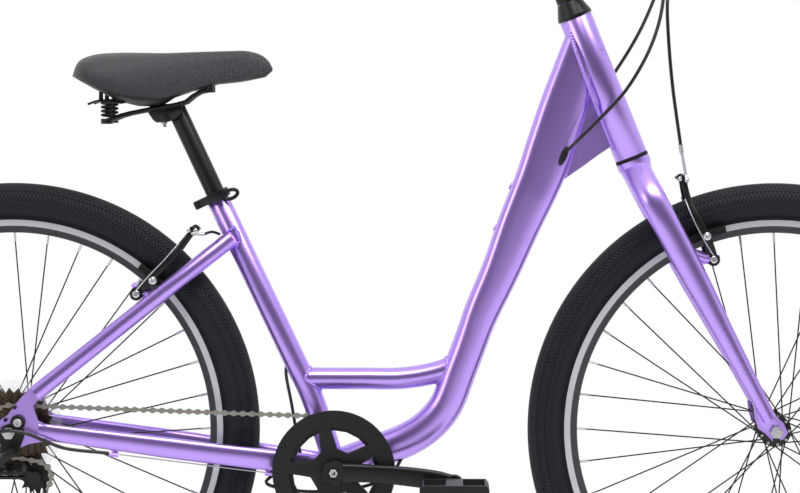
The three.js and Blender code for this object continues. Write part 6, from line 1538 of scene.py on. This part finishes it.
@dataclass(frozen=True)
class Cables:
    """The housings, noodles and bare wires, drawn along the solids' own routes. In millimetres."""

    housing: float = 2.5
    lead_share: float = 0.8
    wire: float = 0.9
    noodle_radius: float = 2.3
    metal: int = 1
    rear_brake: tuple = ((311, -153.3, 1076.2), (314.6, -140.1, 1076.7), (319.9, -120.8, 1077.3),
                         (392, -70, 1062), (383, 0, 1000), (352, 36, 916), (313, 44, 850), (272, 42, 795),
                         (256.6, 44.6, 755.4), (248.2, 31.7, 746.1), (242, 21.2, 739.2), (239.6, 15.1, 736.8))
    shift: tuple = ((309.7, -126.1, 1076.8), (317.4, -114.9, 1078.2), (328.7, -98.5, 1080.2),
                    (370, -105, 1010), (376, -62, 950), (362, -42, 892), (328, -38, 830), (290, -42, 788),
                    (256.6, -44.6, 755.4), (248.2, -31.7, 746.1), (242, -21.2, 739.2), (239.6, -15.1, 736.8))
    front_brake: tuple = ((311, 153.3, 1076.2), (314.6, 140.1, 1076.7), (319.9, 120.8, 1077.3),
                          (404, 60, 1062), (392, 4, 1000), (384.5, -28, 950), (386, -34, 898),
                          (391.5, -36, 835), (397.5, -36, 790), (405, -35, 740))
    front_entry: Spot = (411, -34, 708)
    front_sleeve: Spot = (411.5, -29, 700)
    rear_lead: tuple = ((-246.5, -5.6, 623.8), (-256.4, -18, 627.5), (-266.4, -30.5, 625))
    rear_sleeve: Spot = (-282.6, -29, 626)
    shift_front: tuple = ((14, -9, 311), (2, -13, 291), (-28, -18, 271), (-83, -24, 261), (-140, -29, 262),
                          (-180, -35, 274), (-168, -31.9, 286))
    shift_rear: tuple = ((-398.9, -61.8, 317.9), (-462, -68, 326), (-490, -84, 339), (-516, -92, 350),
                         (-545, -94, 352), (-572, -90, 338), (-588, -83, 312), (-594, -77, 290),
                         (-588, -73, 277), (-577, -70, 281))
    behind: tuple = ((-148, 0, 446), (-153, 2, 432), (-145, 6, 380), (-134, 9, 316), (-128, 10, 292))
    behind_radius: float = 2.3

    def line(self, shape: Shape, rows: tuple, radius: float, count: int, kind: int = 0) -> None:
        """Adds a round line through a route.

        Args:
            shape: The shape that it joins.
            rows: The route.
            radius: Its radius.
            count: Its rings.
            kind: Its finish number.
        """
        shape.grid(pipe(np.array(rows, float) * MM, radius, 14, count), kind=kind)

    def noodle(self, shape: Shape, start: Spot, sleeve: Spot) -> None:
        """Adds the bent tube that turns a cable into the right arm, its sleeve, and the wire to the left arm.

        Args:
            shape: The shape that they join.
            start: Where the bent tube starts.
            sleeve: Where it goes through the right arm.
        """
        x, y, z = sleeve
        turn = (x, y - 9, z)
        middle = tuple(a + 0.6 * (b - a) for a, b in zip(start, turn))
        self.line(shape, (start, middle, turn, sleeve), self.noodle_radius, 30, self.metal)
        shape.grid(turned([(3.9, 0), (3.9, -y * 0.5), (self.noodle_radius, -y * 0.7)], point(*sleeve), Y, 18),
                   kind=self.metal)
        self.line(shape, (sleeve, (x, 0, z), (x, -y, z)), self.wire, 6, self.metal)

    def ferrule(self, shape: Shape, rows: tuple) -> None:
        """Adds the metal cap on a housing's last stretch."""
        end, before = np.array(rows[-1], float), np.array(rows[-2], float)
        shape.grid(turned([(3.3, -11), (3.3, 0), (2.4, 0.6)], end * MM, end - before, 18), kind=self.metal)

    def put(self, shape: Shape, name: str, body: str | None) -> bpy.types.Object:
        """Places one cable over its solid."""
        return shape.put(f"{name}_line", body, [SHEATH, STEEL], "cable_sheath", sharp=50, nodes=(name,))

    def build(self) -> None:
        """Builds all six. The two into the down tube run from the steering to the frame and ride on no body.
        """
        for name, rows in (("rear_brake_cable", self.rear_brake), ("shift_cable", self.shift)):
            shape = Shape()
            self.line(shape, rows, self.housing, 130)
            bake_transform(self.put(shape, name, None))
        front = Shape()
        self.line(front, self.front_brake, self.housing, 120)
        self.ferrule(front, self.front_brake)
        self.line(front, (self.front_brake[-1], self.front_entry), self.noodle_radius, 8, self.metal)
        self.noodle(front, self.front_entry, self.front_sleeve)
        self.put(front, "front_brake_cable", "steering")
        rear = Shape()
        self.line(rear, self.rear_lead, self.housing * self.lead_share, 20)
        self.noodle(rear, self.rear_lead[-1], self.rear_sleeve)
        self.put(rear, "rear_brake_cable_rear", "frame")
        shift = Shape()
        self.line(shift, self.shift_front, self.housing, 60)
        self.line(shift, (self.shift_front[-1], self.shift_rear[0]), self.wire, 4, self.metal)
        self.line(shift, self.shift_rear, self.housing, 80)
        self.put(shift, "shift_cable_rear", "frame")
        behind = Shape()
        self.line(behind, self.behind, self.behind_radius, 40)
        behind.put("cable_behind_seat_tube", "frame", [SHEATH], "cable_sheath", sharp=50)


@dataclass(frozen=True)
class BrakeArms:
    """The four brake arms with their pads, drawn from pivot to cable over their solids. In millimetres."""

    front: tuple = ((449.5, 40, 590), (441, 46, 617), (426, 45, 648), (414.5, 36, 675), (408, 29, 703))
    rear: tuple = ((-361.5, 40, 541), (-340, 46, 565), (-315, 45, 590), (-297, 36, 612), (-283, 29, 630))
    front_pad: tuple[float, float] = (103.8, 115.0)
    rear_pad: tuple[float, float] = (40.8, 52.2)
    depth: tuple = ((0, 7.4), (0.3, 6.2), (0.6, 4.6), (1, 3.6))
    width: tuple = ((0, 4.6), (1, 3.2))
    pad_section: tuple = ((286.6, 17), (297.4, 17), (298, 20), (296, 25.5), (288.5, 25.5), (286.2, 20))
    stud: tuple = ((3.2, 25, 46, 1), (7.2, 27.5, 33, 0), (7.4, 46, 51, 0), (5.4, 51, 55, 1), (2.2, 55, 58, 1))
    stud_radius: float = 292
    spring_wire: float = 0.9

    def bar(self, shape: Shape, line: np.ndarray, out: np.ndarray) -> None:
        """Adds the slender bar and its pivot with a bolt.

        Args:
            shape: The shape that they join.
            line: The bar's points.
            out: Away from the wheel.
        """
        curve = Curve(line)
        t = curve.even(44)
        shape.grid(sections(curve, t, blend(self.depth, t), blend(self.width, t), 3.4, 24))
        shape.grid(turned([(8.6, -9), (9.2, -8), (9.2, 7), (7.6, 9)], line[0], out, 32))
        shape.grid(turned([(5, 8.6), (5, 11.4), (4.2, 12), (2.4, 12), (2.2, 10)], line[0], out, 24), kind=1)

    def pad(self, shape: Shape, pad: tuple[float, float], axle: np.ndarray, out: np.ndarray) -> None:
        """Adds the pad, its section carried round the wheel, and its stud with washers and nut.

        Args:
            shape: The shape that they join.
            pad: The pad's two angles round the wheel, in degrees.
            axle: The wheel's centre.
            out: Away from the wheel.
        """
        angle = np.radians(np.linspace(*pad, 28))
        ring = np.stack([np.cos(angle), np.zeros(28), np.sin(angle)], 1)
        rows = np.array(self.pad_section)
        shape.grid(axle + MM * (ring[:, None] * rows[None, :, :1] + out * rows[None, :, 1:]), kind=2)
        middle = axle + self.stud_radius * MM * ring[14]
        for r, low, high, kind in self.stud:
            shape.grid(turned([(r, low), (r, high - 0.5), (r * 0.86, high)], middle, out, 24), kind=kind)

    def anchor(self, shape: Shape, top: np.ndarray, out: np.ndarray) -> None:
        """Adds the cable's anchor at the bar's top, with its two screws.

        Args:
            shape: The shape that they join.
            top: The bar's top.
            out: Away from the wheel.
        """
        shape.grid(turned([(5, -6), (5.8, -5), (5.8, 5), (5, 6)], top, out, 20))
        for x in (-5.5, 4.5):
            shape.grid(turned([(2.9, 3), (2.9, 8), (2.2, 8.6)], top + X * x * MM, out, 16), kind=1)

    def arm(self, word: str, side: Side, path: tuple, pad: tuple[float, float], axle: np.ndarray) -> None:
        """Builds one arm.

        Args:
            word: Front or rear.
            side: Which side.
            path: The bar's points on the left side, from its pivot to the cable.
            pad: The pad's two angles round the wheel, in degrees.
            axle: The wheel's centre.
        """
        out, shape = Y * side.value, Shape()
        line = np.array([point(x, side.value * y, z) for x, y, z in path])
        self.bar(shape, line, out)
        self.pad(shape, pad, axle, out)
        self.anchor(shape, line[-1], out)
        wire = np.array([line[0] + out * 11 * MM + Z * 5 * MM, line[1] + out * 8 * MM - X * 5 * MM,
                         line[2] + out * 6 * MM - X * 6 * MM, line[3] + out * 5 * MM - X * 5 * MM])
        shape.grid(pipe(wire, self.spring_wire, 10, 30), kind=1)
        name = f"{word}_{side.name.lower()}"
        shape.put(f"brake_arm_{name}_shape", f"{word}_arm_{side.name.lower()}", [BLACK, STEEL, RUBBER],
                  "black_metal", sharp=42, nodes=(f"brake_arm_{name}",))

    def build(self) -> None:
        """Builds all four."""
        for side in Side:
            self.arm("front", side, self.front, self.front_pad, AT.front_axle)
            self.arm("rear", side, self.rear, self.rear_pad, AT.rear_axle)


@dataclass(frozen=True)
class Cranks:
    """The two crank arms, drawn from the bracket to the pedals over their solids. In millimetres."""

    line: tuple = ((-83.5, 67, 291.5), (-40, 70.5, 291.2), (9.2, 73.8, 288.2), (50, 77, 283.6),
                   (85.7, 79, 277))
    depth: tuple = ((0, 14), (0.3, 12.6), (0.6, 13.6), (0.85, 14), (1, 12.4))
    width: tuple = ((0, 8), (0.3, 6.6), (1, 6.4))
    boss: tuple = ((16, 56), (17.4, 57.5), (17.4, 73.5), (15.8, 76.2), (8, 76.2), (7.6, 74))
    eye: tuple = ((12, 72), (13.4, 73.4), (13.4, 84.4), (12, 86))
    bolt: tuple = ((6.8, 72), (6.8, 77.4), (5.8, 78.4), (3.2, 78.4), (3, 75))

    def crank(self, side: Side) -> None:
        """Builds one arm; the left one is the right one turned half round the bracket.

        Args:
            side: Which side.
        """
        rows, centre = np.array(self.line), AT.bracket / MM
        if side is Side.LEFT:
            rows = np.array([2 * centre[0], 0, 2 * centre[2]]) + rows * np.array([-1, 1, -1])
        rows[:, 1] *= side.value
        curve, out = Curve(rows * MM), Y * side.value
        t = curve.even(60)
        shape = Shape().grid(sections(curve, t, blend(self.depth, t), blend(self.width, t), 3.2, 36))
        hub, end = (rows[k] * MM * np.array([1, 0, 1]) for k in (0, -1))
        shape.grid(turned(self.boss, hub, out, 56))
        shape.grid(turned(self.eye, end, out, 48))
        shape.grid(turned(self.bolt, hub, out, 6), kind=1)
        name = f"crank_{side.name.lower()}"
        shape.put(f"{name}_shape", "crank", [BLACK, STEEL], "black_metal", sharp=42, nodes=(name,))

    def build(self) -> None:
        """Builds both arms."""
        for side in Side:
            self.crank(side)


def lever_loop() -> None:
    """Builds the open loop at the end of the seat clamp's lever."""
    angle = angles(48)[:, None]
    long, high = np.array([0.93, 0, 0.37]), np.array([-0.37, 0, 0.93])
    seam = point(-230, -14, 680.5) + MM * (10.2 * np.cos(angle) * long + 6 * np.sin(angle) * high)
    Shape().grid(bead(seam, radius=2.7, ripple=0, pitch=6, sides=14), loop=True).put(
        "clamp_lever_loop", "clamp_lever", [BLACK], "black_metal", sharp=50)


@dataclass(frozen=True)
class Dressing:
    """How a solid that keeps its own shape is finished: its material and edge rounding in millimetres."""

    finish: Finish
    bevel: float


DRESSED: dict[str, Dressing] = {
    **{n: Dressing(PAINT, 0.5) for n in (
        "chainstay_right", "chainstay_left", "seatstay_right", "seatstay_left", "fork")},
    **{n: Dressing(BLACK, 0.4) for n in (
        "seat_clamp", "seat_clamp_lever", "saddle_rails", "headset_top_cover", "stem",
        "brake_body_left", "brake_body_right", "brake_lever_left", "brake_lever_right", "chainring",
        "derailleur_body", "derailleur_link_outer", "derailleur_link_inner", "derailleur_cage")},
    **{n: Dressing(PLASTIC, 0.4) for n in (
        "shift_lever", "chain_guard", "pedal_right", "pedal_left", "derailleur_knuckle", "guide_pulley",
        "tension_pulley")},
    **{n: Dressing(STEEL, 0.3) for n in ("front_axle", "rear_axle", "crank_spindle")},
    "freewheel": Dressing(COGS, 0.15),
    "spoke_protector": Dressing(CLEAR, 0.2),
}


def raise_front(mesh: bpy.types.Mesh, rise: float = 5.5, foot: float = -0.5, run: float = 0.27) -> None:
    """Shears a seatstay's copy up along the seat tube, more and more towards its front end.

    Args:
        mesh: The copy.
        rise: Millimetres at its front end.
        foot: X in metres where the shear starts.
        run: Metres from there to the full rise.
    """
    flat = np.empty(len(mesh.vertices) * 3, np.float32)
    mesh.vertices.foreach_get("co", flat)
    spots = flat.reshape(-1, 3)
    spots += np.clip((spots[:, :1] - foot) / run, 0, 1) * AT.seat_up * rise * MM
    mesh.vertices.foreach_set("co", spots.astype(np.float32).ravel())


def dress(name: str, how: Dressing) -> None:
    """Puts a welded, edge-rounded copy of a solid in its place, with its finish.

    Args:
        name: The CAD node.
        how: Its dressing.
    """
    source = frame["nodes"][name]
    mesh = source.data.copy()
    if name.startswith("seatstay"):
        raise_front(mesh)
    work = bmesh.new()
    work.from_mesh(mesh)
    bmesh.ops.remove_doubles(work, verts=work.verts, dist=WELD_DISTANCE)
    bmesh.ops.dissolve_limit(work, angle_limit=math.radians(1.0), verts=work.verts, edges=work.edges)
    work.to_mesh(mesh)
    work.free()
    mesh.name = f"{name}_dressed"
    smooth(mesh, 40)
    piece = place(mesh, f"{name}_dressed", source["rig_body"], [how.finish.material()], (name,))
    soften(piece, how.bevel)


@dataclass(frozen=True)
class Studio:
    """The floor, the lights and the camera at the photograph's angle. In metres and watts."""

    eye: Spot = (0.065, -5.0, 0.856)
    aim: Spot = (0.009, 0.0, 0.606)
    lens: float = 159.0
    sensor: float = 36
    clip: tuple[float, float] = (0.1, 60)
    lit: Spot = (0, 0, 0.55)
    darkening: tuple = (("From Min", 0.2), ("From Max", 0.82), ("To Min", 1.0), ("To Max", 0.04))
    corners: tuple = ((-7, -8, 0), (7, -8, 0), (7, 1.9, 0), (-7, 1.9, 0))

    def aimed(self, name: str, data: bpy.types.ID, where: Spot, target: Spot) -> bpy.types.Object:
        """Puts a light or a camera into the scene, aimed at a target.

        Args:
            name: Its name.
            data: The light or the camera.
            where: Its place.
            target: What it is aimed at.
        Returns:
            The object.
        """
        made = bpy.data.objects.new(name, data)
        made.location = where
        made.rotation_euler = (Vector(target) - Vector(where)).to_track_quat("-Z", "Y").to_euler()
        bpy.context.scene.collection.objects.link(made)
        return made

    def light(self, name: str, where: Spot, size: tuple[float, float], power: float) -> None:
        """Adds a soft rectangular light aimed at the bike's middle.

        Args:
            name: Its name.
            where: Its place.
            size: Its sides.
            power: Its watts.
        """
        data = bpy.data.lights.new(name, "AREA")
        data.shape, data.size, data.size_y, data.energy = "RECTANGLE", *size, power
        self.aimed(name, data, where, self.lit)

    def world(self) -> None:
        """Makes the world's light: white, and dark towards the camera's side."""
        world = bpy.data.worlds.new("studio")
        world.use_nodes = True
        tree = world.node_tree
        background = tree.nodes["Background"]
        where, parts = tree.nodes.new("ShaderNodeTexCoord"), tree.nodes.new("ShaderNodeSeparateXYZ")
        link(tree, where.outputs["Generated"], parts.inputs[0])
        towards = maths(tree, "MULTIPLY", parts.outputs[1], -1)
        ahead = tree.nodes.new("ShaderNodeMapRange")
        ahead.interpolation_type = "SMOOTHSTEP"
        for name, value in self.darkening:
            ahead.inputs[name].default_value = value
        link(tree, towards, ahead.inputs["Value"])
        shade = tree.nodes.new("ShaderNodeCombineColor")
        for socket in shade.inputs[:3]:
            link(tree, ahead.outputs["Result"], socket)
        link(tree, shade.outputs[0], background.inputs["Color"])
        background.inputs["Strength"].default_value = 1.0
        bpy.context.scene.world = world
        bpy.context.scene.view_settings.view_transform = "Standard"

    def floor(self) -> None:
        """Builds the plain pale floor."""
        mesh = bpy.data.meshes.new("floor")
        mesh.from_pydata(self.corners, [], [(0, 1, 2, 3)])
        floor = bpy.data.objects.new("floor", mesh)
        bpy.context.scene.collection.objects.link(floor)
        mesh.materials.append(FLOOR.material())

    def camera(self) -> None:
        """Sets up the camera."""
        data = bpy.data.cameras.new("camera")
        data.lens, data.sensor_width = self.lens, self.sensor
        data.clip_start, data.clip_end = self.clip
        bpy.context.scene.camera = self.aimed("camera", data, self.eye, self.aim)

    def build(self) -> None:
        """Builds the studio."""
        self.world()
        self.light("key", (0.6, -1.5, 3.3), (2.8, 0.9), 95)
        self.light("fill", (-3.0, -2.0, 1.6), (1.2, 1.2), 18)
        self.floor()
        self.camera()


def main() -> None:
    """Builds the studio and every sub-assembly."""
    logging.basicConfig(level=logging.INFO, format="%(message)s")
    front = Wheel(AT.front_axle, "front", hub_width=100, right_flange=34, left_flange=34)
    rear = Wheel(AT.rear_axle, "rear", hub_width=135, right_flange=21, left_flange=36)
    for assembly in (Studio(), FrameTubes(), Fork(), front, rear, Drivetrain(), Saddle(), Cockpit(), Cables(),
                     BrakeArms(), Cranks()):
        assembly.build()
    lever_loop()
    for name, how in DRESSED.items():
        dress(name, how)


if __name__ == "__main__":
    main()
